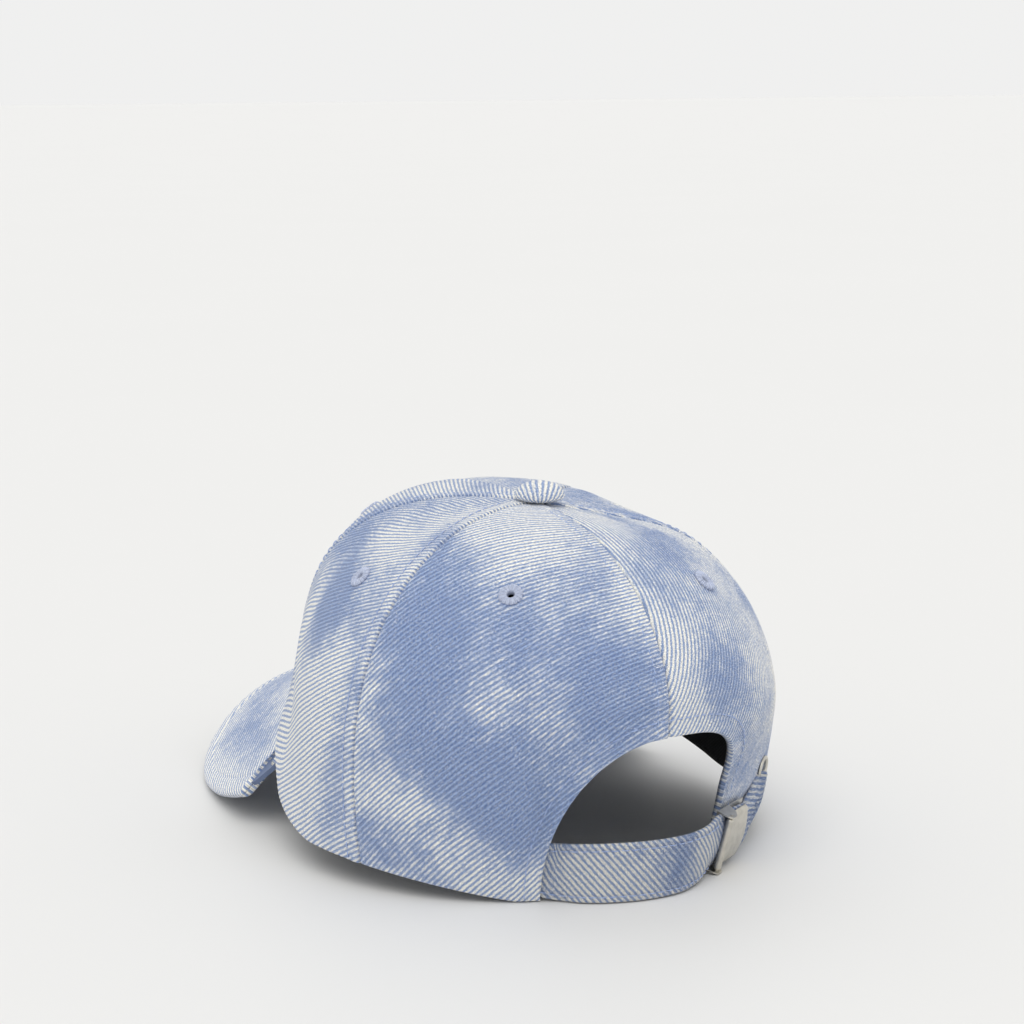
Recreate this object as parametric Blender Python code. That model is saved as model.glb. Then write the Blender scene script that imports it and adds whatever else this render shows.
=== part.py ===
"""A six-panel baseball cap with a curved visor, an open arch at the back and a buckled strap.

Metres, +Z up.  The cap stands on z = 0 as on a table, on the rim at its back and on the side
edges of its visor.  The visor points to -Y and the wearer's left is +X.  A direction round the
crown is an angle in degrees from the front (0) over the wearer's left (90) to the back (180).
A place up the crown is a rise, from 0 at the rim to 1 at the button.
"""

import math

import bmesh
import bpy
import numpy as np
from mathutils import Matrix, Vector

# Crown plan and profile
CROWN_Y = 0.0401
HALF_WIDTH = 0.0844
FRONT_REACH = 0.0917
BACK_REACH = 0.0856
PLAN_POWER = 1.86
APEX_SET_BACK = 0.0043
APEX_HEIGHT = 0.1173
FRONT_POWER = 3.8
SIDE_POWER = 2.27
BACK_POWER = 1.85
WIDEST_SIDE = 0.0346
WIDEST_BACK = 0.0645
WIDEST_BLEND = 0.0040
TAPER_SIDE = 0.015
TAPER_BACK = 0.20
RIM_SIDE_RISE = 0.0139
RIM_DROP = 0.0045
RIM_FRONT_RISE = 0.0442
RIM_FRONT_POWER = 1.5
SEATED_WITHIN = 56.0
SEATED_FADE = 16.0

# Where the crown leaves its even shape: a pinch behind the buckle, a flare at the visor's
# corners and a dent behind the button
PINCH_ANGLE = 212.0
PINCH_SPREAD = 18.0
PINCH_DEPTH = 0.0065
PINCH_FULL_BELOW = 0.026
PINCH_NONE_ABOVE = 0.056
FLARE_ANGLE = 66.0
FLARE_SPREAD = 15.0
FLARE_OUT = 0.0040
FLARE_HEIGHT = 0.013
FLARE_WAIST = 0.0014
WAIST_HEIGHT = 0.032
WAIST_SPREAD = 0.014
DENT_PLACE = (-0.024, 0.011)
DENT_DEPTH = 0.0045
DENT_SPREAD = 0.017

# Seams, panels and the layers under them, as depths below the cloth's outer face
SIDE_SEAM = 48.0
BACK_SEAM = 107.0
PANEL_TOP = 0.975
PANEL_COLUMNS = 8
BACK_PANEL_COLUMNS = 14
PANEL_ROWS = 14
SEAM_GAP = 0.0004
CLOTH = 0.0012
STIFFENER_DEPTH = (0.0016, 0.0023)
TAPE_DEPTH = (0.0030, 0.0034)
TAPE_WIDTH = 0.012
TAPE_TOP = 0.925
TAPE_FOOT = 0.02
TAPE_ABOVE_ARCH = 0.01
TAPE_HALF_ANGLE_MOST = 0.42
BAND_DEPTH = (0.0041, 0.0051)
BAND_END = 146.0
BAND_HEIGHT = 0.030
BAND_COLUMNS = 36
BAND_ROWS = (0.04, 0.35, 0.70, 1.0)
LABEL_DEPTH = (0.0055, 0.0058)
LABEL_HALF_ANGLE = 11.0
LABEL_HEIGHTS = (0.008, 0.025)
LABEL_COLUMNS = 5
LABEL_ROWS = 3

# Arch at the back
ARCH_HALF_ANGLE = 28.3
ARCH_HEIGHT = 0.0544
ARCH_LEFT_POWER = 2.0
ARCH_RIGHT_POWER = 3.1
ARCH_SHARE = 0.5
ARCH_FOOT_STEPS = 6
BINDING_DEPTH = (0.0019, 0.0023)
BINDING_EDGE = 0.0010
BINDING_WIDTH = 0.0085
BINDING_START = 33.0
BINDING_COLUMNS = 18

# Button and eyelets
BUTTON_RADIUS = 0.0086
BUTTON_RISE = 0.0050
BUTTON_LIFT = 0.0005
BUTTON_CLOTH = 0.0006
BUTTON_GAP = 0.0003
DOME_STEPS = 7
SHELL_WALL = 0.0005
RIVET_RADIUS = 0.0016
RIVET_HEAD_RADIUS = 0.0032
RIVET_HEAD_THICK = 0.0006
RIVET_HEAD_GAP = 0.0008
RIVET_FLANGE = 0.0055
RIVET_FLANGE_THICK = 0.0008
RIVET_DEPTH = 0.0055
EYELET_OUTER = 0.0039
EYELET_HOLE = 0.0012
EYELET_LIFT = 0.0004
EYELET_THICK = 0.0008
EYELET_EDGE = 0.0003
PANEL_HOLE = 0.00132
STIFFENER_HOLE = 0.0018
CUTTER_DEPTH = 0.0030
EYELET_PLACES = {
    "front_left": (24.0, 0.1040),
    "front_right": (-24.0, 0.1040),
    "side_left": (85.8, 0.0953),
    "side_right": (-85.8, 0.0953),
    "back_left": (142.9, 0.0970),
    "back_right": (-149.5, 0.0955),
}

# Visor
VISOR_HALF_WIDTH = 0.0863
VISOR_BACK_LINE = -0.0528
VISOR_REACH = 0.1130
VISOR_POWER = 2.25
VISOR_ARCH = 0.0488
VISOR_ARCH_POWER = 1.953
VISOR_CORNER_HEIGHT = 0.01257
VISOR_TILT = 0.331
VISOR_HALF_ANGLE = 63.0
VISOR_EAR_SHARE = 0.10
VISOR_COLUMNS = 30
VISOR_ROWS = 5
VISOR_SEAT = 0.0006
VISOR_INNER_GAP = 0.0008
VISOR_EAR_TIP = 0.0021
VISOR_SLOPE_STEP = 0.0005
VISOR_TOP_COVER = (0.0, 0.0009)
VISOR_BOARD = (0.0013, 0.0029)
VISOR_BOTTOM_COVER = (0.0033, 0.0042)
VISOR_BOARD_INSET = 0.0020

# Strap: (angle, height, offset from the crown, width, thickness) at its two ends
STRAP_WIDTH = 0.0199
STRAP_THICK = 0.0014
STRAP_SEWN = ((146.5, 0.0106, -0.0031), (151.0, 0.0105, -0.0033))
STRAP_TAIL = (
    (221.5, 0.0152, 0.0031, 0.0134, 0.0016),
    (226.5, 0.0202, 0.0021, 0.0088, 0.0020),
)
STRAP_END = (230.0, 0.0240, 0.0029, 0.0042, 0.0020)
STRAP_SECTIONS = 44
STRAP_SECTION = ((-0.5, 0.25), (-0.46, 0.5), (-0.16, 0.5), (0.16, 0.5), (0.46, 0.5), (0.5, 0.25))

# Strap where it bows clear of the crown: (angle, reach, height, degrees its top leans outwards)
STRAP_BOW = (
    (156.0, 0.0722, 0.0104, 10.0),
    (162.0, 0.0748, 0.0103, 5.0),
    (169.0, 0.0769, 0.0103, 4.0),
    (178.0, 0.0789, 0.0103, 5.0),
    (187.0, 0.0797, 0.0104, 8.0),
    (194.5, 0.0780, 0.0107, 12.0),
)

# Clasp, in its own frame: x along the strap, y up its width, z away from the crown
CLASP_ANGLE = 209.5
CLASP_REACH = 0.0710
CLASP_HEIGHT = 0.0123
CLASP_LEAN = 15.0
CLASP_HALF_LENGTH = 0.0090
CLASP_BASE = (0.0013, 0.0018)
CLASP_WALL_IN = 0.0099
CLASP_WALL = 0.0006
CLASP_RAIL = 0.0022
CLASP_BAR = 0.0022
CLASP_HEAD = 0.00484
CHEEK_FOOT = -0.0005
CHEEK_SLOPE_TOP = -0.0035
CHEEK_SHOULDER = 0.0056
CHEEK_TOP = 0.0072
CHEEK_TOP_HALF = 0.0012
STRAP_IN_CLASP = 0.0036
STRAP_CLASP_PLACES = ((-0.0110, 0.0199), (-0.0035, 0.0188), (0.0035, 0.0186), (0.0098, 0.0180))
PIN_X = -0.0072
PIN_Z = 0.0058
PIN_RADIUS = 0.00055
PIN_CLEARANCE = 0.00009
PIN_PROUD = 0.0002
BORE_HALF_LENGTH = 0.013
BARREL_RADIUS = 0.00125
LEVER_HALF_WIDTH = 0.0095
LEVER_LENGTH = 0.0152
LEVER_THICK = 0.0006
LEVER_TOP = 0.0061
LEVER_TIP = 0.0012
CAM_X = (-0.0050, -0.0042)
CAM_BOTTOM = 0.0047
TAB_HALF_WIDTH = 0.0070
TAB_CLOTH = 0.0005
TAB_LENGTH = 0.0040
TAB_THROAT = 0.0015
TAB_SAG = 0.0008
TAB_GAP = 0.0003
CUT_PAST = 0.001

# Grommet
GROMMET_ANGLE = 231.6
GROMMET_HEIGHT = 0.0262
GROMMET_FLANGE = 0.0048
GROMMET_BORE = 0.0034
GROMMET_WALL = 0.0005
GROMMET_LIFT = 0.0005
GROMMET_DEPTH = 0.0029
GROMMET_CUT = 0.0043
GROMMET_EDGE = 0.0003
GROMMET_CREST = 0.0008
GROMMET_LIP = 0.0006
WASHER_INNER = 0.0042
WASHER_OUTER = 0.0056
WASHER_DEPTH = (0.0021, 0.0025)

ROUND_STEPS = 24
SMALL_STEPS = 16
SMOOTH_BELOW = math.radians(40.0)
SAMPLE_ANGLE = 0.5
SAMPLE_RISE = 0.004

MATERIALS = {
    "crown_cloth": ((0.30, 0.42, 0.66), 0.85, 0.0),
    "visor_cloth": ((0.34, 0.46, 0.70), 0.85, 0.0),
    "strap_cloth": ((0.42, 0.52, 0.72), 0.85, 0.0),
    "stiffener": ((0.80, 0.80, 0.78), 0.9, 0.0),
    "tape": ((0.02, 0.02, 0.025), 0.8, 0.0),
    "band": ((0.012, 0.012, 0.014), 0.85, 0.0),
    "label": ((0.75, 0.75, 0.74), 0.7, 0.0),
    "thread": ((0.42, 0.52, 0.86), 0.6, 0.0),
    "board": ((0.70, 0.70, 0.68), 0.5, 0.0),
    "nickel": ((0.62, 0.60, 0.55), 0.32, 1.0),
}


def material(name):
    found = bpy.data.materials.get(name)
    if found:
        return found
    colour, roughness, metallic = MATERIALS[name]
    made = bpy.data.materials.new(name)
    made.use_nodes = True
    shader = made.node_tree.nodes["Principled BSDF"]
    shader.inputs["Base Color"].default_value = (*colour, 1.0)
    shader.inputs["Roughness"].default_value = roughness
    shader.inputs["Metallic"].default_value = metallic
    return made


def smoothstep(value):
    value = np.clip(value, 0.0, 1.0)
    return value * value * (3.0 - 2.0 * value)


def turn_between(angle, centre):
    """Degrees from centre to angle, between -180 and 180."""
    return (np.asarray(angle) - centre + 180.0) % 360.0 - 180.0


# ---------------------------------------------------------------- crown surface


def visor_height(x, y):
    """Height of the visor's upper face over a place in plan, y from the crown's centre."""
    across = np.clip(np.abs(x) / VISOR_HALF_WIDTH, 0.0, 1.1)
    arch = VISOR_ARCH * (1.0 - across**VISOR_ARCH_POWER)
    return VISOR_CORNER_HEIGHT + arch - VISOR_TILT * (VISOR_BACK_LINE - y)


def plan_reach(angle):
    """The crown's widest ring in one direction, from its centre."""
    turn = np.radians(angle)
    s, c = np.sin(turn), np.cos(turn)
    even = (np.abs(s) ** PLAN_POWER + np.abs(c) ** PLAN_POWER) ** (-1.0 / PLAN_POWER)
    reach = np.where(c > 0.0, FRONT_REACH, BACK_REACH)
    return HALF_WIDTH * s * even, -reach * c * even


def profile_of(angle):
    """The numbers that shape the profile in one direction: rim, widest height, taper, power, split."""
    turn = np.radians(angle)
    s, c = np.sin(turn), np.cos(turn)
    front, back = np.clip(c, 0.0, 1.0) ** 2, np.clip(-c, 0.0, 1.0) ** 2
    side = 1.0 - front - back
    x, y = plan_reach(angle)
    rim = RIM_SIDE_RISE * s**2 + RIM_FRONT_RISE * np.clip(c, 0.0, 1.0) ** RIM_FRONT_POWER
    rim = np.maximum(rim - RIM_DROP, 0.0)
    beyond = np.abs(turn_between(angle, 0.0)) - SEATED_WITHIN
    seated = 1.0 - smoothstep(beyond / SEATED_FADE)
    rim = rim + seated * (visor_height(x, y) + VISOR_SEAT - rim)
    bulge = WIDEST_BACK * back + WIDEST_SIDE * side
    widest = 0.5 * (bulge + rim + np.hypot(bulge - rim, WIDEST_BLEND))
    taper = TAPER_BACK * back + TAPER_SIDE * side
    power = FRONT_POWER * front + SIDE_POWER * side + BACK_POWER * back
    down = widest - rim
    bend = 1.0 + 1.0 / power
    up = (np.hypot(x, y) ** bend + (APEX_HEIGHT - widest) ** bend) ** (1.0 / bend)
    return rim, widest, taper, power, down / (down + up)


def rise_at(angle, height):
    """The rise at which the crown reaches a height in one direction."""
    rim, widest, _, power, split = profile_of(angle)
    below = split * (height - rim) / (widest - rim)
    up = np.clip((height - widest) / (APEX_HEIGHT - widest), 0.0, 1.0)
    slope = np.arctan2(up, (1.0 - up**power) ** (1.0 / power))
    return np.where(height < widest, below, split + (1.0 - split) * slope / (math.pi / 2))


def crown_surface(angle, rise):
    """The outer face of the crown's cloth."""
    angle, rise = np.broadcast_arrays(np.asarray(angle, float), np.asarray(rise, float))
    x, y = plan_reach(angle)
    rim, widest, taper, power, split = profile_of(angle)
    under = np.clip((split - rise) / split, 0.0, 1.0)
    slope = np.clip((rise - split) / (1.0 - split), 0.0, 1.0) * math.pi / 2
    size = (np.cos(slope) ** power + np.sin(slope) ** power) ** (1.0 / power)
    low = rise < split
    spread = np.where(low, 1.0 - taper * under**2, np.cos(slope) / size)
    over = widest + (APEX_HEIGHT - widest) * np.sin(slope) / size
    z = np.where(low, widest - (widest - rim) * under, over)
    pinch = PINCH_DEPTH * np.exp(-0.5 * (turn_between(angle, PINCH_ANGLE) / PINCH_SPREAD) ** 2)
    pinch = pinch * smoothstep((PINCH_NONE_ABOVE - z) / (PINCH_NONE_ABOVE - PINCH_FULL_BELOW))
    corner = (np.abs(turn_between(angle, 0.0)) - FLARE_ANGLE) / FLARE_SPREAD
    flare = FLARE_OUT * np.exp(-(((z - rim) / FLARE_HEIGHT) ** 2))
    flare = flare - FLARE_WAIST * np.exp(-(((z - rim - WAIST_HEIGHT) / WAIST_SPREAD) ** 2))
    grow = spread * (1.0 + (flare * np.exp(-0.5 * corner**2) - pinch) / np.hypot(x, y))
    x, y = x * grow, CROWN_Y + APEX_SET_BACK + (y - APEX_SET_BACK) * grow
    beside = np.hypot(x - DENT_PLACE[0], y - CROWN_Y - DENT_PLACE[1]) / DENT_SPREAD
    dent = DENT_DEPTH * np.exp(-0.5 * beside**2) * smoothstep(z / APEX_HEIGHT)
    return np.stack([x, y, z - dent], axis=-1)


def crown_normal(angle, rise):
    high, low = np.minimum(rise + SAMPLE_RISE, 0.999), np.maximum(rise - SAMPLE_RISE, 0.0)
    along = crown_surface(angle + SAMPLE_ANGLE, rise) - crown_surface(angle - SAMPLE_ANGLE, rise)
    upward = crown_surface(angle, high) - crown_surface(angle, low)
    normal = np.cross(along, upward)
    return normal / np.linalg.norm(normal, axis=-1, keepdims=True)


def off_crown(angle, rise, offset):
    """A place offset outwards from the cloth's outer face."""
    angle, rise = np.broadcast_arrays(np.asarray(angle, float), np.asarray(rise, float))
    return crown_surface(angle, rise) + crown_normal(angle, rise) * offset


def ring_frame(angle, reach, height, lean):
    """A matrix at a reach from the crown's centre: x round the crown, y up, z outwards.

    The lean is the angle in degrees by which its top is tipped outwards.
    """
    turn, tip = math.radians(angle), math.radians(lean)
    away = Vector((math.sin(turn), -math.cos(turn), 0.0))
    along = Vector((math.cos(turn), math.sin(turn), 0.0))
    outward = away * math.cos(tip) - Vector((0.0, 0.0, math.sin(tip)))
    frame = Matrix((along, outward.cross(along), outward)).transposed().to_4x4()
    frame.translation = away * reach + Vector((0.0, CROWN_Y, height))
    return frame


def crown_frame(angle, height):
    """A matrix on the crown's outer face: x round the crown, y up, z outwards."""
    rise = rise_at(angle, height)
    outward = Vector(crown_normal(angle, rise))
    along = Vector(crown_surface(angle + SAMPLE_ANGLE, rise) - crown_surface(angle - SAMPLE_ANGLE, rise))
    along = (along - outward * along.dot(outward)).normalized()
    upward = outward.cross(along)
    frame = Matrix((along, upward, outward)).transposed().to_4x4()
    frame.translation = Vector(crown_surface(angle, rise))
    return frame


# ---------------------------------------------------------------- mesh helpers


def add_object(name, mesh, slot):
    made = bpy.data.objects.new(name, mesh)
    bpy.context.scene.collection.objects.link(made)
    mesh.materials.append(material(slot))
    mesh.shade_smooth()
    mesh.set_sharp_from_angle(angle=SMOOTH_BELOW)
    return made


def solid_between(name, outer, inner, slot):
    """One closed solid between two grids of points, outer and inner, of the same size."""
    columns, rows = outer.shape[:2]
    points = [tuple(p) for p in outer.reshape(-1, 3)] + [tuple(p) for p in inner.reshape(-1, 3)]
    under = columns * rows

    def at(i, j):
        return i * rows + j

    faces = []
    for i in range(columns - 1):
        for j in range(rows - 1):
            a, b, c, d = at(i, j), at(i + 1, j), at(i + 1, j + 1), at(i, j + 1)
            faces += [(a, b, c), (a, c, d)]
            faces += [(under + c, under + b, under + a), (under + d, under + c, under + a)]
    edge = [at(i, 0) for i in range(columns)]
    edge += [at(columns - 1, j) for j in range(1, rows)]
    edge += [at(i, rows - 1) for i in range(columns - 2, -1, -1)]
    edge += [at(0, j) for j in range(rows - 2, 0, -1)]
    for a, b in zip(edge, edge[1:] + edge[:1]):
        faces += [(b, a, under + a), (b, under + a, under + b)]
    mesh = bpy.data.meshes.new(name)
    mesh.from_pydata(points, [], faces)
    return add_object(name, mesh, slot)


def turned(name, outline, slot, steps=ROUND_STEPS):
    """A solid turned about z from an outline of (radius, height); it closes on itself or on the axis."""
    shape = bmesh.new()
    corners = [shape.verts.new((radius, 0.0, height)) for radius, height in outline]
    pairs = list(zip(corners, corners[1:]))
    if outline[0][0] > 0.0:
        pairs.append((corners[-1], corners[0]))
    edges = [shape.edges.new(pair) for pair in pairs]
    bmesh.ops.spin(
        shape,
        geom=corners + edges,
        axis=(0, 0, 1),
        cent=(0, 0, 0),
        angle=math.tau,
        steps=steps,
        use_merge=True,
    )
    bmesh.ops.remove_doubles(shape, verts=shape.verts, dist=1e-7)
    bmesh.ops.recalc_face_normals(shape, faces=shape.faces)
    mesh = bpy.data.meshes.new(name)
    shape.to_mesh(mesh)
    shape.free()
    return add_object(name, mesh, slot)


def extruded(name, outline, low, high, slot):
    """A solid extruded along y from an outline of (x, z) points."""
    shape = bmesh.new()
    corners = [shape.verts.new((x, low, z)) for x, z in outline]
    face = shape.faces.new(corners)
    grown = bmesh.ops.extrude_face_region(shape, geom=[face])
    moved = [item for item in grown["geom"] if isinstance(item, bmesh.types.BMVert)]
    bmesh.ops.translate(shape, verts=moved, vec=(0.0, high - low, 0.0))
    bmesh.ops.recalc_face_normals(shape, faces=shape.faces)
    mesh = bpy.data.meshes.new(name)
    shape.to_mesh(mesh)
    shape.free()
    return add_object(name, mesh, slot)


def cut_with(target, cutter):
    cutter.hide_render = True
    cutter.display_type = "WIRE"
    cut = target.modifiers.new("cut_" + cutter.name, "BOOLEAN")
    cut.operation = "DIFFERENCE"
    cut.object = cutter


def join_with(target, tool):
    tool.hide_render = True
    tool.display_type = "WIRE"
    join = target.modifiers.new("join_" + tool.name, "BOOLEAN")
    join.operation = "UNION"
    join.object = tool


def rod(name, radius, half_length, slot):
    """A round rod along z, centred on its origin."""
    outline = [(0.0, -half_length), (radius, -half_length), (radius, half_length), (0.0, half_length)]
    return turned(name, outline, slot, SMALL_STEPS)


def round_cutter(name, radius, depth, frame):
    cutter = rod(name, radius, depth, "tape")
    cutter.matrix_world = frame
    return cutter


# ---------------------------------------------------------------- crown panels


def arch_point(turn, power, half_angle=ARCH_HALF_ANGLE, height=ARCH_HEIGHT):
    """Angle and height on the arch's edge; turn is 0 at its left foot, 90 at its top, 180 at its right."""
    across, up = np.cos(np.radians(turn)), np.sin(np.radians(turn))
    angle = 180.0 - half_angle * np.sign(across) * np.abs(across) ** (2.0 / power)
    return angle, height * np.abs(up) ** (2.0 / power)


def arch_foot(power):
    """The turn at which the left half of an arch's edge meets the rim."""
    turn = 0.0
    for _ in range(ARCH_FOOT_STEPS):
        angle = float(arch_point(turn, power)[0])
        share = float(profile_of(angle)[0]) / ARCH_HEIGHT
        turn = math.degrees(math.asin(share ** (0.5 * power)))
    return turn


def seam_turn(angle, rise):
    """Degrees by which a panel keeps clear of the seam beside it."""
    place = crown_surface(angle, rise)
    reach = np.hypot(place[..., 0], place[..., 1] - CROWN_Y - APEX_SET_BACK)
    return np.degrees(0.5 * SEAM_GAP / reach)


def panel_grid(start, end, arch_power):
    """Angles and rises of a left-hand panel, in columns from its front seam to its back seam."""
    columns = BACK_PANEL_COLUMNS if end == 180.0 else PANEL_COLUMNS
    share = np.linspace(0.0, 1.0, columns + 1)
    low_angle, low_rise = start + (end - start) * share, np.zeros_like(share)
    if end == 180.0:
        foot = arch_foot(arch_power)
        rim_end = float(arch_point(foot, arch_power)[0])
        on_arch = share > ARCH_SHARE
        low_angle = start + (rim_end - start) * np.minimum(share / ARCH_SHARE, 1.0)
        turn = foot + (90.0 - foot) * (share - ARCH_SHARE) / (1.0 - ARCH_SHARE)
        edge_angle, edge_height = arch_point(np.where(on_arch, turn, foot), arch_power)
        low_angle = np.where(on_arch, edge_angle, low_angle)
        low_rise = np.where(on_arch, rise_at(edge_angle, edge_height), 0.0)
    up = np.linspace(0.0, 1.0, PANEL_ROWS + 1)[None, :]
    top_angle = start + (end - start) * share
    angle = low_angle[:, None] + (top_angle - low_angle)[:, None] * up
    rise = low_rise[:, None] + (PANEL_TOP - low_rise)[:, None] * up
    angle[0] += seam_turn(angle[0], rise[0])
    angle[-1] -= seam_turn(angle[-1], rise[-1])
    return angle, rise


def mirrored(angle, rise):
    """The same grid on the wearer's right, its columns in the same turning sense."""
    return -angle[::-1], rise[::-1]


def cloth_on_crown(name, grid, depths, slot, level_foot=False):
    """A layer of the crown between two depths; a level foot makes its lower edge horizontal."""
    angle, rise = grid
    shallow, deep = depths
    outer, inner = off_crown(angle, rise, -shallow), off_crown(angle, rise, -deep)
    if level_foot:
        at_rim = rise[:, 0] <= 0.0
        inner[at_rim, 0, 2] = outer[at_rim, 0, 2]
    return solid_between(name, outer, inner, slot)


def build_panels():
    spans = {"front": (0.0, SIDE_SEAM), "side": (SIDE_SEAM, BACK_SEAM), "back": (BACK_SEAM, 180.0)}
    panels = {}
    for place, (start, end) in spans.items():
        grids = {
            "left": panel_grid(start, end, ARCH_LEFT_POWER),
            "right": mirrored(*panel_grid(start, end, ARCH_RIGHT_POWER)),
        }
        for side, own_grid in grids.items():
            name = f"{place}_{side}"
            node = f"crown_panel_{name}"
            panels[name] = cloth_on_crown(node, own_grid, (0.0, CLOTH), "crown_cloth", True)
            if place == "front":
                cloth_on_crown(f"front_stiffener_{side}", own_grid, STIFFENER_DEPTH, "stiffener")
    return panels


def build_eyelets(panels):
    outline = [
        (EYELET_HOLE, EYELET_LIFT),
        (EYELET_OUTER - EYELET_EDGE, EYELET_LIFT),
        (EYELET_OUTER, EYELET_LIFT + 0.35 * EYELET_THICK),
        (0.6 * EYELET_OUTER, EYELET_LIFT + EYELET_THICK),
        (EYELET_HOLE + EYELET_EDGE, EYELET_LIFT + EYELET_THICK),
    ]
    for name, (angle, height) in EYELET_PLACES.items():
        frame = crown_frame(angle, height)
        ring = turned(f"eyelet_{name}", outline, "thread", SMALL_STEPS)
        ring.matrix_world = frame
        cutter = round_cutter(f"eyelet_cutter_{name}", PANEL_HOLE, CUTTER_DEPTH, frame)
        cut_with(panels[name], cutter)
        if name.startswith("front"):
            stiffener = bpy.data.objects["front_stiffener_" + name.split("_")[1]]
            cutter = round_cutter(f"stiffener_cutter_{name}", STIFFENER_HOLE, CUTTER_DEPTH, frame)
            cut_with(stiffener, cutter)


def build_tapes():
    seams = {
        "front": 0.0,
        "left_front": SIDE_SEAM,
        "left_back": BACK_SEAM,
        "back": 180.0,
        "right_back": -BACK_SEAM,
        "right_front": -SIDE_SEAM,
    }
    for name, seam in seams.items():
        foot = TAPE_FOOT
        if seam == 180.0:
            foot = float(rise_at(180.0, ARCH_HEIGHT)) + TAPE_ABOVE_ARCH
        rise = np.linspace(foot, TAPE_TOP, PANEL_ROWS + 3)[None, :]
        spine = crown_surface(seam, rise)
        reach = np.hypot(spine[..., 0], spine[..., 1] - CROWN_Y - APEX_SET_BACK)
        half = np.degrees(np.minimum(0.5 * TAPE_WIDTH / reach, TAPE_HALF_ANGLE_MOST))
        angle = seam + np.array([-1.0, 0.0, 1.0])[:, None] * half
        rise = np.broadcast_to(rise, angle.shape)
        cloth_on_crown(f"seam_tape_{name}", (angle, rise), TAPE_DEPTH, "tape")


def build_binding():
    turn = np.linspace(BINDING_START, 180.0 - BINDING_START, BINDING_COLUMNS + 1)[:, None]
    inset = np.array([BINDING_WIDTH, 0.5 * BINDING_WIDTH, BINDING_EDGE])[None, :]
    reach = float(crown_surface(180.0, rise_at(180.0, ARCH_HEIGHT))[1]) - CROWN_Y
    half = ARCH_HALF_ANGLE + np.degrees(inset / reach)
    power = np.where(turn > 90.0, ARCH_RIGHT_POWER, ARCH_LEFT_POWER)
    angle, height = arch_point(turn, power, half, ARCH_HEIGHT + inset)
    grid = (angle[:, ::-1], rise_at(angle, height)[:, ::-1])
    cloth_on_crown("arch_binding", grid, BINDING_DEPTH, "tape")


def build_sweatband():
    angle = np.linspace(-BAND_END, BAND_END, BAND_COLUMNS + 1)[:, None]
    lift = BAND_HEIGHT * np.array(BAND_ROWS)[None, :]
    angle = np.broadcast_to(angle, (BAND_COLUMNS + 1, len(BAND_ROWS)))
    rise = rise_at(angle, profile_of(angle)[0] + lift)
    cloth_on_crown("sweatband", (angle, rise), BAND_DEPTH, "band")
    angle = np.linspace(-LABEL_HALF_ANGLE, LABEL_HALF_ANGLE, LABEL_COLUMNS)[:, None]
    angle = np.broadcast_to(angle, (LABEL_COLUMNS, LABEL_ROWS))
    lift = np.linspace(*LABEL_HEIGHTS, LABEL_ROWS)[None, :]
    rise = rise_at(angle, profile_of(angle)[0] + lift)
    cloth_on_crown("inner_label", (angle, rise), LABEL_DEPTH, "label")


def build_button():
    seat = Matrix.Translation((0.0, CROWN_Y + APEX_SET_BACK, APEX_HEIGHT))
    skin_in, shell_out = BUTTON_CLOTH, BUTTON_CLOTH + BUTTON_GAP
    shell_in = shell_out + SHELL_WALL

    def dome(inset, foot):
        """Outline points of a dome inset from the button's outer face, from its foot to its top."""
        turns = np.radians(np.linspace(0.0, 90.0, DOME_STEPS + 1))
        radius, rise = BUTTON_RADIUS - inset, BUTTON_RISE - inset - foot
        return [(radius * math.cos(t), foot + rise * math.sin(t)) for t in turns]

    def cup(outer, inner, foot):
        points = dome(outer, foot)
        points[-1] = (0.0, points[-1][1])
        inside = dome(inner, foot)[::-1]
        inside[0] = (0.0, inside[0][1])
        return points + inside

    def ring_cup(name, outer, inner, slot):
        """A dome of one wall, closed over its top and open below."""
        made = turned(name, cup(outer, inner, BUTTON_LIFT), slot)
        made.matrix_world = seat
        return made

    ring_cup("button_cover", 0.0, skin_in, "crown_cloth")
    ring_cup("button_shell", shell_out, shell_in, "nickel")
    head = BUTTON_RISE - shell_in - RIVET_HEAD_GAP
    outline = [
        (0.0, -RIVET_DEPTH),
        (RIVET_FLANGE, -RIVET_DEPTH),
        (RIVET_FLANGE, -RIVET_DEPTH + RIVET_FLANGE_THICK),
        (RIVET_RADIUS, -RIVET_DEPTH + RIVET_FLANGE_THICK),
        (RIVET_RADIUS, head - RIVET_HEAD_THICK),
        (RIVET_HEAD_RADIUS, head - RIVET_HEAD_THICK),
        (RIVET_HEAD_RADIUS, head),
        (0.0, head),
    ]
    rivet = turned("button_rivet", outline, "nickel")
    rivet.matrix_world = seat


# ---------------------------------------------------------------- visor


def visor_plan(inset):
    """Plan grid of the visor, columns across from the wearer's right to the left, rows outwards."""
    across = np.linspace(-1.0, 1.0, VISOR_COLUMNS + 1)
    rim = off_crown(across * VISOR_HALF_ANGLE, 0.0 * across, VISOR_INNER_GAP)
    inner = np.stack([rim[:, 0], rim[:, 1] - CROWN_Y], axis=-1)
    body = 1.0 - VISOR_EAR_SHARE
    turn = np.radians(90.0 * np.clip(across / body, -1.0, 1.0))
    power = 2.0 / VISOR_POWER
    x = (VISOR_HALF_WIDTH - inset) * np.sign(turn) * np.abs(np.sin(turn)) ** power
    y = VISOR_BACK_LINE - (VISOR_REACH - inset) * np.abs(np.cos(turn)) ** power
    outer = np.stack([x, y], axis=-1)
    tip = inner + np.stack([np.sign(across), -np.ones_like(across)], axis=-1) * VISOR_EAR_TIP
    ear = np.clip((np.abs(across) - body) / VISOR_EAR_SHARE, 0.0, 1.0)[:, None]
    edge = np.where(across < 0.0, 0, -1)
    outer = outer + ear * (tip[edge] - outer)
    out = np.linspace(0.0, 1.0, VISOR_ROWS + 1)[None, :, None]
    return inner[:, None, :] + (outer - inner)[:, None, :] * out


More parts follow.
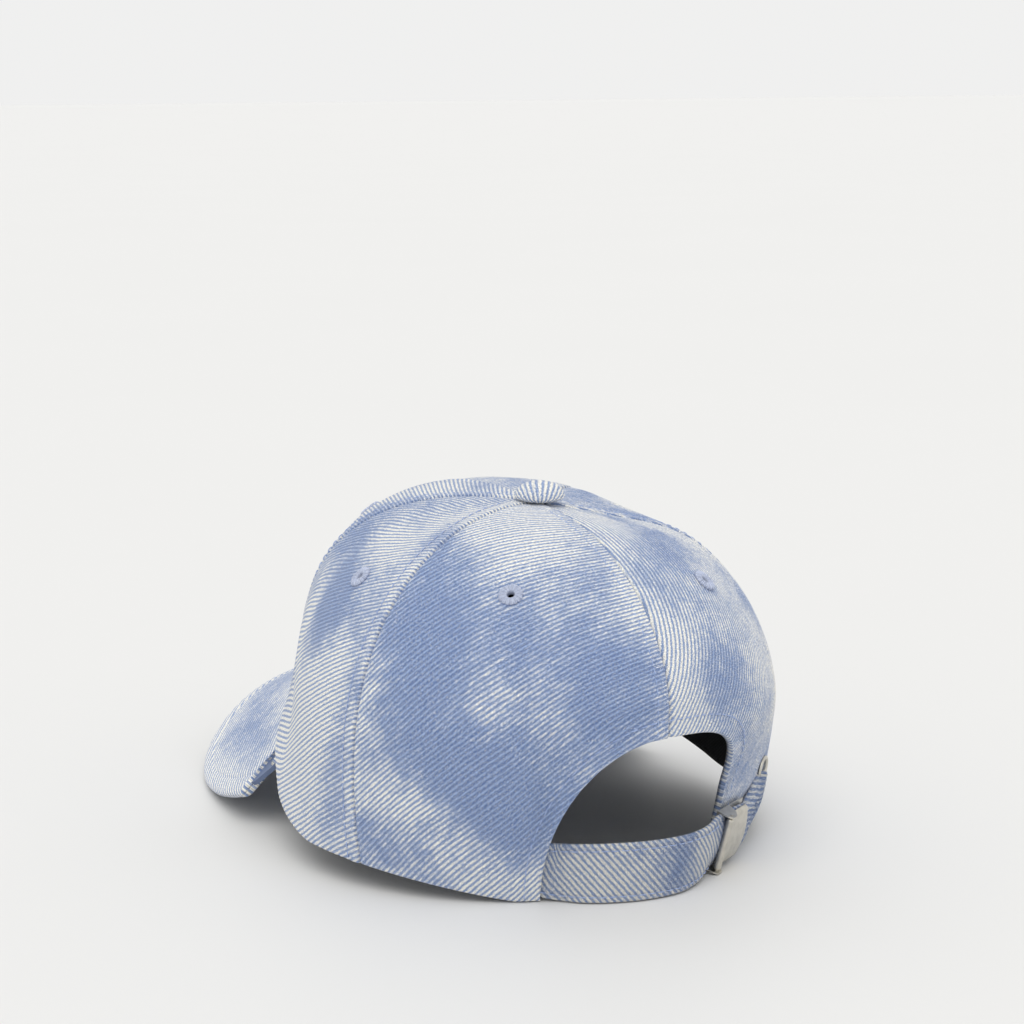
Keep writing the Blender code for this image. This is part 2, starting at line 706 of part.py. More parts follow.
def visor_face(plan, depth):
    """The visor's upper face over a plan grid, moved down by a depth along its normal."""
    x, y = plan[..., 0], plan[..., 1]
    step = VISOR_SLOPE_STEP
    slope_x = (visor_height(x + step, y) - visor_height(x - step, y)) / (2.0 * step)
    slope_y = np.full_like(slope_x, VISOR_TILT)
    normal = np.stack([-slope_x, -slope_y, np.ones_like(x)], axis=-1)
    normal /= np.linalg.norm(normal, axis=-1, keepdims=True)
    face = np.stack([x, y + CROWN_Y, visor_height(x, y)], axis=-1)
    return face - normal * depth


def build_visor():
    layers = {
        "visor_top_cover": (VISOR_TOP_COVER, 0.0, "visor_cloth"),
        "visor_board": (VISOR_BOARD, VISOR_BOARD_INSET, "board"),
        "visor_bottom_cover": (VISOR_BOTTOM_COVER, 0.0, "visor_cloth"),
    }
    for name, ((shallow, deep), inset, slot) in layers.items():
        plan = visor_plan(inset)[::-1]
        solid_between(name, visor_face(plan, shallow), visor_face(plan, deep), slot)


# ---------------------------------------------------------------- strap, clasp and grommet


def station(frame, offset, width=STRAP_WIDTH, thick=STRAP_THICK):
    """One station of the strap: its middle, its outward direction, its width and its thickness."""
    outward = frame.col[2].to_3d()
    return np.array([*(frame.translation + outward * offset), *outward, width, thick])


def clasp_seat():
    return ring_frame(CLASP_ANGLE, CLASP_REACH, CLASP_HEIGHT, CLASP_LEAN)


def smooth_through(stations, count):
    """Catmull-Rom samples through the stations, evenly spread over their lengths."""
    rows = np.array(stations)
    padded = np.vstack([2 * rows[0] - rows[1], rows, 2 * rows[-1] - rows[-2]])
    gaps = np.linalg.norm(np.diff(rows[:, :3], axis=0), axis=1)
    reach = np.concatenate([[0.0], np.cumsum(gaps)])
    samples = []
    for place in np.linspace(0.0, reach[-1], count):
        i = min(int(np.searchsorted(reach, place, side="right")) - 1, len(gaps) - 1)
        t = (place - reach[i]) / gaps[i]
        a, b, c, d = padded[i : i + 4]
        curve = 2 * b + (c - a) * t + (2 * a - 5 * b + 4 * c - d) * t**2 + (3 * b - a - 3 * c + d) * t**3
        samples.append(0.5 * curve)
    return np.array(samples)


def build_strap():
    stations = [station(crown_frame(angle, height), offset) for angle, height, offset in STRAP_SEWN]
    stations += [station(ring_frame(*place), 0.0) for place in STRAP_BOW]
    for x, width in STRAP_CLASP_PLACES:
        in_clasp = clasp_seat() @ Matrix.Translation((x, 0.0, 0.0))
        stations.append(station(in_clasp, STRAP_IN_CLASP, width))
    for angle, height, offset, width, thick in (*STRAP_TAIL, STRAP_END):
        stations.append(station(crown_frame(angle, height), offset, width, thick))
    samples = smooth_through(stations, STRAP_SECTIONS)
    middle, outward = samples[:, :3], samples[:, 3:6]
    along = np.gradient(middle, axis=0)
    along /= np.linalg.norm(along, axis=1, keepdims=True)
    outward = outward - along * np.sum(outward * along, axis=1, keepdims=True)
    outward /= np.linalg.norm(outward, axis=1, keepdims=True)
    upward = np.cross(outward, along)
    across, fullness = np.array(STRAP_SECTION).T
    width, thick = samples[:, 6], samples[:, 7]
    spread = upward[:, None, :] * (across[None, :] * width[:, None])[..., None]
    lift = outward[:, None, :] * (fullness[None, :] * thick[:, None])[..., None]
    outer = middle[:, None, :] + spread + lift
    inner = middle[:, None, :] + spread - lift
    solid_between("strap", outer, inner, "strap_cloth")


def build_clasp():
    seat = bpy.data.objects.new("clasp_seat", None)
    seat.matrix_world = clasp_seat()
    bpy.context.scene.collection.objects.link(seat)
    hinge = bpy.data.objects.new("clasp_hinge", None)
    bpy.context.scene.collection.objects.link(hinge)
    hinge.parent = seat
    hinge.location = (PIN_X, 0.0, PIN_Z)

    along_pin = Matrix.Rotation(math.pi / 2, 4, "X")
    at_pin = Matrix.Translation((PIN_X, 0.0, PIN_Z)) @ along_pin
    in_seat = build_clasp_frame(at_pin)
    pin = rod("clasp_pin", PIN_RADIUS, CLASP_WALL_IN + CLASP_WALL + PIN_PROUD, "nickel")
    pin.matrix_world = at_pin
    in_seat += [pin, *build_clasp_tab()]
    for piece in in_seat:
        piece.parent = seat
    for piece in build_lever(along_pin):
        piece.parent = hinge


def build_clasp_frame(at_pin):
    """The clasp's base plate with its window and the two cheeks that hold the pin."""
    low, high = CLASP_BASE
    wall_out = CLASP_WALL_IN + CLASP_WALL
    start, end = -CLASP_HALF_LENGTH, CLASP_HALF_LENGTH
    base = [(start, low), (end, low), (end, high), (start, high)]
    frame = extruded("clasp_frame", base, -wall_out, wall_out, "nickel")
    left, right = start + CLASP_HEAD, end - CLASP_BAR
    under, over = low - CUT_PAST, high + CUT_PAST
    opening = [(left, under), (right, under), (right, over), (left, over)]
    rail = CLASP_WALL_IN - CLASP_RAIL
    window = extruded("frame_window", opening, -rail, rail, "nickel")
    cut_with(frame, window)
    cheek = [
        (start, low),
        (CHEEK_FOOT, low),
        (CHEEK_SLOPE_TOP, CHEEK_SHOULDER),
        (PIN_X + CHEEK_TOP_HALF, CHEEK_TOP),
        (PIN_X - CHEEK_TOP_HALF, CHEEK_TOP),
        (start, CHEEK_SHOULDER),
    ]
    pieces = [frame, window]
    for name, sign in (("cheek_low", -1.0), ("cheek_high", 1.0)):
        side = extruded(name, cheek, *sorted((sign * CLASP_WALL_IN, sign * wall_out)), "nickel")
        join_with(frame, side)
        pieces.append(side)
    hole = round_cutter("pin_hole", PIN_RADIUS + PIN_CLEARANCE, BORE_HALF_LENGTH, at_pin)
    cut_with(frame, hole)
    return [*pieces, hole]


def build_lever(along_pin):
    """The lever's plate, cam and rolled barrel, about the pin."""
    top, under = LEVER_TOP - PIN_Z, LEVER_TOP - PIN_Z - LEVER_THICK
    cam_start, cam_end = CAM_X[0] - PIN_X, CAM_X[1] - PIN_X
    cam_foot = CAM_BOTTOM - PIN_Z
    plate = [
        (0.0, under),
        (cam_start, under),
        (cam_start, cam_foot),
        (cam_end, cam_foot),
        (cam_end, under),
        (LEVER_LENGTH - LEVER_TIP, under),
        (LEVER_LENGTH, 0.5 * (under + top)),
        (LEVER_LENGTH, top),
        (0.0, top),
    ]
    lever = extruded("clasp_lever", plate, -LEVER_HALF_WIDTH, LEVER_HALF_WIDTH, "nickel")
    barrel = rod("lever_barrel", BARREL_RADIUS, LEVER_HALF_WIDTH, "nickel")
    barrel.matrix_world = along_pin
    bore = round_cutter("lever_bore", PIN_RADIUS + PIN_CLEARANCE, BORE_HALF_LENGTH, along_pin)
    join_with(lever, barrel)
    cut_with(lever, bore)
    return [lever, barrel, bore]


def build_clasp_tab():
    """The cloth tab folded round the clasp's bar; its tail is sewn behind the panel."""
    low, high = CLASP_BASE[0] - TAB_GAP, CLASP_BASE[1] + TAB_GAP
    fold_x = CLASP_HALF_LENGTH - CLASP_BAR - TAB_GAP
    end_x = CLASP_HALF_LENGTH + TAB_LENGTH
    bevel = 0.6 * TAB_CLOTH
    loop = [
        (fold_x - TAB_CLOTH, low - bevel),
        (fold_x, low - TAB_CLOTH),
        (end_x, low - TAB_CLOTH - TAB_SAG),
        (end_x, low - TAB_SAG),
        (CLASP_HALF_LENGTH + TAB_THROAT, low + TAB_CLOTH),
        (fold_x, high + TAB_CLOTH),
        (fold_x - TAB_CLOTH, high + bevel),
    ]
    tab = extruded("clasp_tab", loop, -TAB_HALF_WIDTH, TAB_HALF_WIDTH, "strap_cloth")
    bar_end = CLASP_HALF_LENGTH + TAB_GAP
    around_bar = [(fold_x, low), (bar_end, low), (bar_end, high - 0.2 * TAB_CLOTH), (fold_x, high)]
    slot = extruded("tab_slot", around_bar, -2.0 * TAB_HALF_WIDTH, 2.0 * TAB_HALF_WIDTH, "strap_cloth")
    cut_with(tab, slot)
    return [tab, slot]


def build_grommet(panel):
    frame = crown_frame(GROMMET_ANGLE, GROMMET_HEIGHT)
    bore_out = GROMMET_BORE + GROMMET_WALL
    lift = GROMMET_LIFT
    outline = [
        (GROMMET_BORE, -GROMMET_DEPTH),
        (bore_out, -GROMMET_DEPTH),
        (bore_out, lift),
        (GROMMET_FLANGE, lift),
        (GROMMET_FLANGE, lift + GROMMET_EDGE),
        (0.5 * (GROMMET_FLANGE + GROMMET_BORE), lift + GROMMET_CREST),
        (GROMMET_BORE, lift + GROMMET_LIP),
    ]
    grommet = turned("grommet", outline, "nickel")
    grommet.matrix_world = frame
    shallow, deep = WASHER_DEPTH
    ring = [(WASHER_INNER, -deep), (WASHER_OUTER, -deep)]
    ring += [(WASHER_OUTER, -shallow), (WASHER_INNER, -shallow)]
    washer = turned("grommet_washer", ring, "nickel")
    washer.matrix_world = frame
    cutter = round_cutter("grommet_cutter", GROMMET_CUT, CUTTER_DEPTH, frame)
    cut_with(panel, cutter)


def build():
    for old in list(bpy.data.objects):
        bpy.data.objects.remove(old, do_unlink=True)
    panels = build_panels()
    build_eyelets(panels)
    build_tapes()
    build_binding()
    build_sweatband()
    build_button()
    build_visor()
    build_strap()
    build_clasp()
    build_grommet(panels["back_right"])


build()
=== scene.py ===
"""Looks of a six-panel baseball cap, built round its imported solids.

Metres, +Z up; the visor points to -Y and the wearer's left is +X.  A direction round the crown is an
angle in degrees from the front (0) over the wearer's left (90) to the back (180), and a place up the
crown is a rise, from 0 at the rim to 1 at the button.  Seen from outside, angles grow to the right.
"""

import math

import bpy
import numpy as np
from mathutils import Matrix, Vector


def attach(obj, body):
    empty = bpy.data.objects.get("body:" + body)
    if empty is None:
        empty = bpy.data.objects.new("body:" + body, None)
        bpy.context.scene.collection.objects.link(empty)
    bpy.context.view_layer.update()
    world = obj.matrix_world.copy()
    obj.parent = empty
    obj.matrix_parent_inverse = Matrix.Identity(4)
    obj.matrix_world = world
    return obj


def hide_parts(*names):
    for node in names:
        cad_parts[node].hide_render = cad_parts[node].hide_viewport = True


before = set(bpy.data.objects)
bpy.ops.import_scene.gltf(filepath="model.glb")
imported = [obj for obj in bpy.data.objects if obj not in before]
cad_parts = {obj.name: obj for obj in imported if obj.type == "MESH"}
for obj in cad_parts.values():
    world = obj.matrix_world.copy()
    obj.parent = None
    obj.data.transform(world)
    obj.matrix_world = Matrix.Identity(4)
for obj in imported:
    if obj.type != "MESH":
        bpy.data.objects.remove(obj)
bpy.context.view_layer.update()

MM = 0.001

# ---------------------------------------------------------------- the crown's shape, as in the solids

CROWN_Y = 0.0401
HALF_WIDTH = 0.0844
FRONT_REACH = 0.0917
BACK_REACH = 0.0856
PLAN_POWER = 1.86
APEX_SET_BACK = 0.0043
APEX_HEIGHT = 0.1173
FRONT_POWER = 3.8
SIDE_POWER = 2.27
BACK_POWER = 1.85
WIDEST_SIDE = 0.0346
WIDEST_BACK = 0.0645
WIDEST_BLEND = 0.0040
TAPER_SIDE = 0.015
TAPER_BACK = 0.20
RIM_SIDE_RISE = 0.0139
RIM_DROP = 0.0045
RIM_FRONT_RISE = 0.0442
RIM_FRONT_POWER = 1.5
SEATED_WITHIN = 56.0
SEATED_FADE = 16.0
PINCH_ANGLE = 212.0
PINCH_SPREAD = 18.0
PINCH_DEPTH = 0.0065
PINCH_FULL_BELOW = 0.026
PINCH_NONE_ABOVE = 0.056
FLARE_ANGLE = 66.0
FLARE_SPREAD = 15.0
FLARE_OUT = 0.0040
FLARE_HEIGHT = 0.013
FLARE_WAIST = 0.0014
WAIST_HEIGHT = 0.032
WAIST_SPREAD = 0.014
DENT_PLACE = (-0.024, 0.011)
DENT_DEPTH = 0.0045
DENT_SPREAD = 0.017
SIDE_SEAM = 48.0
BACK_SEAM = 107.0
ARCH_HALF_ANGLE = 28.3
ARCH_HEIGHT = 0.0544
ARCH_LEFT_POWER = 2.0
ARCH_RIGHT_POWER = 3.1

VISOR_HALF_WIDTH = 0.0863
VISOR_BACK_LINE = -0.0528
VISOR_REACH = 0.1130
VISOR_POWER = 2.25
VISOR_ARCH = 0.0488
VISOR_ARCH_POWER = 1.953
VISOR_CORNER_HEIGHT = 0.01257
VISOR_TILT = 0.331
VISOR_HALF_ANGLE = 63.0
VISOR_EAR_SHARE = 0.10
VISOR_INNER_GAP = 0.0008
VISOR_EAR_TIP = 0.0021
VISOR_SEAT = 0.0006
VISOR_THICK = 0.0042

STRAP_WIDTH = 0.0199
STRAP_THICK = 0.0014
STRAP_SEWN = ((146.5, 0.0106, -0.0031), (151.0, 0.0105, -0.0033))
STRAP_BOW = (
    (156.0, 0.0722, 0.0104, 10.0),
    (162.0, 0.0748, 0.0103, 5.0),
    (169.0, 0.0769, 0.0103, 4.0),
    (178.0, 0.0789, 0.0103, 5.0),
    (187.0, 0.0797, 0.0104, 8.0),
    (194.5, 0.0780, 0.0107, 12.0),
)
STRAP_TAIL = (
    (221.5, 0.0152, 0.0031, 0.0134, 0.0016),
    (226.5, 0.0202, 0.0021, 0.0082, 0.0020),
)
STRAP_TUCK = (231.2, 0.0254, 0.0006, 0.0040, 0.0020)
STRAP_CLASP_PLACES = ((-0.0110, 0.0199), (-0.0035, 0.0188), (0.0035, 0.0186), (0.0098, 0.0180))
STRAP_IN_CLASP = 0.0036
CLASP_ANGLE = 209.5
CLASP_REACH = 0.0710
CLASP_HEIGHT = 0.0123
CLASP_LEAN = 15.0
PIN_X = -0.0072
PIN_Z = 0.0058
LEVER_HALF_WIDTH = 0.0095
LEVER_LENGTH = 0.0152
LEVER_TOP = 0.0061
GROMMET_ANGLE = 231.6
GROMMET_HEIGHT = 0.0262
GROMMET_FLANGE = 0.0048
GROMMET_BORE = 0.0034
BUTTON_RADIUS = 0.0086
BUTTON_RISE = 0.0050
EYELET_OUTER = 0.0039
EYELET_HOLE = 0.00125
PANEL_HOLE = 0.0024
EYELET_PLACES = {
    "front_left": (24.0, 0.1040),
    "front_right": (-24.0, 0.1040),
    "side_left": (85.8, 0.0953),
    "side_right": (-85.8, 0.0953),
    "back_left": (142.9, 0.0970),
    "back_right": (-149.5, 0.0955),
}

# ---------------------------------------------------------------- cloth

PITCH = 1.51 * MM
STRAP_PITCH = 1.66 * MM
BUTTON_PITCH = 1.40 * MM
RIDGE = 0.07 * MM
UV_PER_METRE = 10.0
CLOTH_THICK = 1.2 * MM
HEM_ROLL = 1.1 * MM
HEM_STITCH = 6.0 * MM
HEM_RISE = 0.22 * MM
SEAM_DEPTH = 0.95 * MM
SEAM_WIDTH = 0.38 * MM
SEAM_ROLL = 0.9 * MM
WELT_WIDTH = 4.3 * MM
WELT_RISE = 0.32 * MM
STITCH_DIP = 0.16 * MM
STITCH_DIP_WIDTH = 0.6 * MM
PUCKER_DEPTH = 0.22 * MM
PUCKER_SIZE = 6.5 * MM
PANEL_TOP = 0.985
COLUMNS = 216
ROWS = 300
EDGE_STEPS = 12
INNER_EVERY = 3
FEW = (slice(None, None, INNER_EVERY),) * 2


def smoothstep(value):
    value = np.clip(value, 0.0, 1.0)
    return value * value * (3.0 - 2.0 * value)


def distances(points):
    """How far each point of a line is from its first, measured along the line."""
    steps = np.linalg.norm(np.diff(points, axis=0), axis=-1)
    return np.concatenate([[0.0], np.cumsum(steps)])


def distances_up(points):
    """How far each point of a grid is from the first of its column, measured up the column."""
    steps = np.linalg.norm(np.diff(points, axis=1), axis=-1)
    return np.concatenate([np.zeros((len(steps), 1)), np.cumsum(steps, axis=1)], axis=1)


def turn_between(angle, centre):
    """Degrees from centre to angle, between -180 and 180."""
    return (np.asarray(angle) - centre + 180.0) % 360.0 - 180.0


def hashed(x, y, z, seed):
    """A number from -1 to 1 for each whole-number place."""
    n = (x * 374761393 + y * 668265263 + z * 1440662683 + seed * 1274126177) & 0xFFFFFFFF
    n = ((n ^ (n >> 13)) * 1274126177) & 0xFFFFFFFF
    n = n ^ (n >> 16)
    return (n & 0xFFFF) / 32767.5 - 1.0


def noise(points, size, seed=0):
    """Smooth noise from about -1 to 1 over points, whose lumps are about size across."""
    points = np.asarray(points, float)
    at = points / size + 1000.0
    low = np.floor(at).astype(np.int64)
    part = smoothstep(at - low)
    total = np.zeros(at.shape[:-1])
    for dx in (0, 1):
        for dy in (0, 1):
            for dz in (0, 1):
                share = np.where(dx, part[..., 0], 1.0 - part[..., 0])
                share = share * np.where(dy, part[..., 1], 1.0 - part[..., 1])
                share = share * np.where(dz, part[..., 2], 1.0 - part[..., 2])
                total += share * hashed(low[..., 0] + dx, low[..., 1] + dy, low[..., 2] + dz, seed)
    return total


# ---------------------------------------------------------------- crown surface


def visor_height(x, y):
    across = np.clip(np.abs(x) / VISOR_HALF_WIDTH, 0.0, 1.1)
    arch = VISOR_ARCH * (1.0 - across**VISOR_ARCH_POWER)
    return VISOR_CORNER_HEIGHT + arch - VISOR_TILT * (VISOR_BACK_LINE - y)


def plan_reach(angle):
    turn = np.radians(angle)
    s, c = np.sin(turn), np.cos(turn)
    even = (np.abs(s) ** PLAN_POWER + np.abs(c) ** PLAN_POWER) ** (-1.0 / PLAN_POWER)
    reach = np.where(c > 0.0, FRONT_REACH, BACK_REACH)
    return HALF_WIDTH * s * even, -reach * c * even


def profile_of(angle):
    """The numbers that shape the profile in one direction: rim, widest height, taper, power, split."""
    turn = np.radians(angle)
    s, c = np.sin(turn), np.cos(turn)
    front, back = np.clip(c, 0.0, 1.0) ** 2, np.clip(-c, 0.0, 1.0) ** 2
    side = 1.0 - front - back
    x, y = plan_reach(angle)
    rim = RIM_SIDE_RISE * s**2 + RIM_FRONT_RISE * np.clip(c, 0.0, 1.0) ** RIM_FRONT_POWER
    rim = np.maximum(rim - RIM_DROP, 0.0)
    beyond = np.abs(turn_between(angle, 0.0)) - SEATED_WITHIN
    seated = 1.0 - smoothstep(beyond / SEATED_FADE)
    rim = rim + seated * (visor_height(x, y) + VISOR_SEAT - rim)
    bulge = WIDEST_BACK * back + WIDEST_SIDE * side
    widest = 0.5 * (bulge + rim + np.hypot(bulge - rim, WIDEST_BLEND))
    taper = TAPER_BACK * back + TAPER_SIDE * side
    power = FRONT_POWER * front + SIDE_POWER * side + BACK_POWER * back
    down = widest - rim
    bend = 1.0 + 1.0 / power
    up = (np.hypot(x, y) ** bend + (APEX_HEIGHT - widest) ** bend) ** (1.0 / bend)
    return rim, widest, taper, power, down / (down + up)


def rise_at(angle, height):
    """The rise at which the crown reaches a height in one direction."""
    rim, widest, _, power, split = profile_of(angle)
    below = split * (height - rim) / (widest - rim)
    up = np.clip((height - widest) / (APEX_HEIGHT - widest), 0.0, 1.0)
    slope = np.arctan2(up, (1.0 - up**power) ** (1.0 / power))
    return np.where(height < widest, below, split + (1.0 - split) * slope / (math.pi / 2))


def crown_surface(angle, rise):
    """The outer face of the crown's cloth."""
    angle, rise = np.broadcast_arrays(np.asarray(angle, float), np.asarray(rise, float))
    x, y = plan_reach(angle)
    rim, widest, taper, power, split = profile_of(angle)
    under = np.clip((split - rise) / split, 0.0, 1.0)
    slope = np.clip((rise - split) / (1.0 - split), 0.0, 1.0) * math.pi / 2
    size = (np.cos(slope) ** power + np.sin(slope) ** power) ** (1.0 / power)
    low = rise < split
    spread = np.where(low, 1.0 - taper * under**2, np.cos(slope) / size)
    over = widest + (APEX_HEIGHT - widest) * np.sin(slope) / size
    z = np.where(low, widest - (widest - rim) * under, over)
    pinch = PINCH_DEPTH * np.exp(-0.5 * (turn_between(angle, PINCH_ANGLE) / PINCH_SPREAD) ** 2)
    pinch = pinch * smoothstep((PINCH_NONE_ABOVE - z) / (PINCH_NONE_ABOVE - PINCH_FULL_BELOW))
    corner = (np.abs(turn_between(angle, 0.0)) - FLARE_ANGLE) / FLARE_SPREAD
    flare = FLARE_OUT * np.exp(-(((z - rim) / FLARE_HEIGHT) ** 2))
    flare = flare - FLARE_WAIST * np.exp(-(((z - rim - WAIST_HEIGHT) / WAIST_SPREAD) ** 2))
    grow = spread * (1.0 + (flare * np.exp(-0.5 * corner**2) - pinch) / np.hypot(x, y))
    x, y = x * grow, CROWN_Y + APEX_SET_BACK + (y - APEX_SET_BACK) * grow
    beside = np.hypot(x - DENT_PLACE[0], y - CROWN_Y - DENT_PLACE[1]) / DENT_SPREAD
    dent = DENT_DEPTH * np.exp(-0.5 * beside**2) * smoothstep(z / APEX_HEIGHT)
    return np.stack([x, y, z - dent], axis=-1)


def crown_normal(angle, rise):
    high, low = np.minimum(rise + 0.004, 0.999), np.maximum(rise - 0.004, 0.0)
    along = crown_surface(angle + 0.5, rise) - crown_surface(angle - 0.5, rise)
    normal = np.cross(along, crown_surface(angle, high) - crown_surface(angle, low))
    return normal / np.linalg.norm(normal, axis=-1, keepdims=True)


def off_crown(angle, rise, offset):
    """A place offset outwards from the cloth's outer face."""
    angle, rise = np.broadcast_arrays(np.asarray(angle, float), np.asarray(rise, float))
    offset = np.broadcast_to(offset, angle.shape)
    return crown_surface(angle, rise) + crown_normal(angle, rise) * offset[..., None]


def ring_frame(angle, reach, height, lean):
    """A matrix at a reach from the crown's centre, its top tipped outwards by lean degrees."""
    turn, tip = math.radians(angle), math.radians(lean)
    away = Vector((math.sin(turn), -math.cos(turn), 0.0))
    along = Vector((math.cos(turn), math.sin(turn), 0.0))
    outward = away * math.cos(tip) - Vector((0.0, 0.0, math.sin(tip)))
    made = Matrix((along, outward.cross(along), outward)).transposed().to_4x4()
    made.translation = away * reach + Vector((0.0, CROWN_Y, height))
    return made


def crown_frame(angle, height):
    """A matrix on the crown's outer face: x round the crown, y up, z outwards."""
    rise = rise_at(angle, height)
    outward = Vector(crown_normal(angle, rise))
    along = Vector(crown_surface(angle + 0.5, rise) - crown_surface(angle - 0.5, rise))
    along = (along - outward * along.dot(outward)).normalized()
    upward = outward.cross(along)
    made = Matrix((along, upward, outward)).transposed().to_4x4()
    made.translation = Vector(crown_surface(angle, rise))
    return made


def metres_per_degree(angle, rise):
    step = crown_surface(angle + 0.25, rise) - crown_surface(angle - 0.25, rise)
    return np.linalg.norm(step, axis=-1) / 0.5


def arch_point(turn, power, half_angle=ARCH_HALF_ANGLE, height=ARCH_HEIGHT):
    """Angle and height on the arch's edge; turn is 0 at its left foot, 90 at its top, 180 at its right."""
    across, up = np.cos(np.radians(turn)), np.sin(np.radians(turn))
    angle = 180.0 - half_angle * np.sign(across) * np.abs(across) ** (2.0 / power)
    return angle, height * np.abs(up) ** (2.0 / power)


def arch_foot(power):
    """The turn at which the left half of an arch's edge meets the rim."""
    turn = 0.0
    for _ in range(6):
        angle = float(arch_point(turn, power)[0])
        share = float(profile_of(angle)[0]) / ARCH_HEIGHT
        turn = math.degrees(math.asin(share ** (0.5 * power)))
    return turn


def beside_arch(turn, inset):
    """Angle and height beside the whole arch's edge, which is squarer on the wearer's right."""
    half = ARCH_HALF_ANGLE + inset / metres_per_degree(180.0, rise_at(180.0, ARCH_HEIGHT))
    power = np.where(turn > 90.0, ARCH_RIGHT_POWER, ARCH_LEFT_POWER)
    return arch_point(turn, power, half, ARCH_HEIGHT + inset)


# ---------------------------------------------------------------- flat cloth coordinates


class Gore:
    """A panel's flat pattern: how far across its centre line and up it each place on it lies."""

    def __init__(self, start, end):
        self.start, self.end = start, end
        self.middle = 0.5 * (start + end)
        self.rises = np.linspace(0.0, 0.995, 160)
        self.lengths = distances(crown_surface(self.middle, self.rises))
        widths = metres_per_degree(self.middle, self.rises)
        bends = -np.gradient(widths, self.lengths) / np.maximum(widths, 1e-6)
        apart = (self.lengths[:, None] - self.lengths[None, :]) / (10.0 * MM)
        weight = np.exp(-0.5 * apart**2)
        self.bends = (weight @ np.clip(bends, -30.0, 60.0)) / weight.sum(axis=1)

    def across(self, angle, rise):
        """Signed distance from the centre line, along the crown at one rise."""
        angle, rise = np.broadcast_arrays(np.asarray(angle, float), np.asarray(rise, float))
        total = np.zeros(angle.shape)
        last = crown_surface(self.middle, rise)
        for k in range(1, 7):
            here = crown_surface(self.middle + (angle - self.middle) * k / 6.0, rise)
            total += np.linalg.norm(here - last, axis=-1)
            last = here
        return total * np.sign(angle - self.middle)

    def flat(self, angle, rise):
        """Flat coordinates (right, up) in metres."""
        right = self.across(angle, rise)
        up = np.interp(rise, self.rises, self.lengths)
        bend = np.interp(rise, self.rises, self.bends)
        return right, up + 0.5 * bend * right**2 / (1.0 + np.abs(bend * right))


# The directions in which the twill's ridges run on each panel's flat pattern.
RIDGE_ANGLES = {
    "back_right": 60.0,
    "side_left": 36.0,
    "side_right": 50.0,
    "front_left": 39.0,
    "front_right": 47.0,
}
RIDGE_CENTRE = np.array([0.144, -0.121])


def along_ridges(flat, angle):
    """Flat places turned into places along and across straight ridges."""
    c, s = math.cos(math.radians(angle)), math.sin(math.radians(angle))
    return np.stack([flat[..., 0] * c + flat[..., 1] * s, flat[..., 1] * c - flat[..., 0] * s], axis=-1)


def round_ridges(flat):
    """Flat places turned into places along and across ridges that curve round one centre."""
    away = flat - RIDGE_CENTRE
    reach = np.hypot(away[..., 0], away[..., 1])
    turn = np.arctan2(away[..., 0], away[..., 1])
    middle = float(np.hypot(*RIDGE_CENTRE))
    return np.stack([turn * middle, reach - middle], axis=-1)


# ---------------------------------------------------------------- meshes


def mesh_object(name, points, faces):
    mesh = bpy.data.meshes.new(name)
    mesh.from_pydata([tuple(p) for p in np.asarray(points, float)], [], faces)
    made = bpy.data.objects.new(name, mesh)
    bpy.context.scene.collection.objects.link(made)
    mesh.shade_smooth()
    return made


def grid_faces(columns, rows, flip=False, base=0, wrap=False):
    """Quads over a grid of points in columns, each of rows points.

    Wrap joins the last column to the first.
    """
    i, j = np.meshgrid(np.arange(columns if wrap else columns - 1), np.arange(rows - 1), indexing="ij")
    after = (i + 1) % columns
    a, b = i * rows + j, after * rows + j
    quads = np.stack([a, b, b + 1, a + 1], axis=-1).reshape(-1, 4) + base
    return quads[:, ::-1] if flip else quads


def set_uv(made, flat):
    """Flat cloth coordinates as a UV map, a tenth of a metre to the unit."""
    layer = made.data.uv_layers.new(name="cloth")
    corners = np.empty(len(made.data.loops), np.int32)
    made.data.loops.foreach_get("vertex_index", corners)
    layer.data.foreach_set("uv", (np.asarray(flat)[corners] * UV_PER_METRE).astype(np.float32).ravel())


def set_value(made, name, values):
    layer = made.data.attributes.new(name, "FLOAT", "POINT")
    layer.data.foreach_set("value", np.asarray(values, np.float32).ravel())


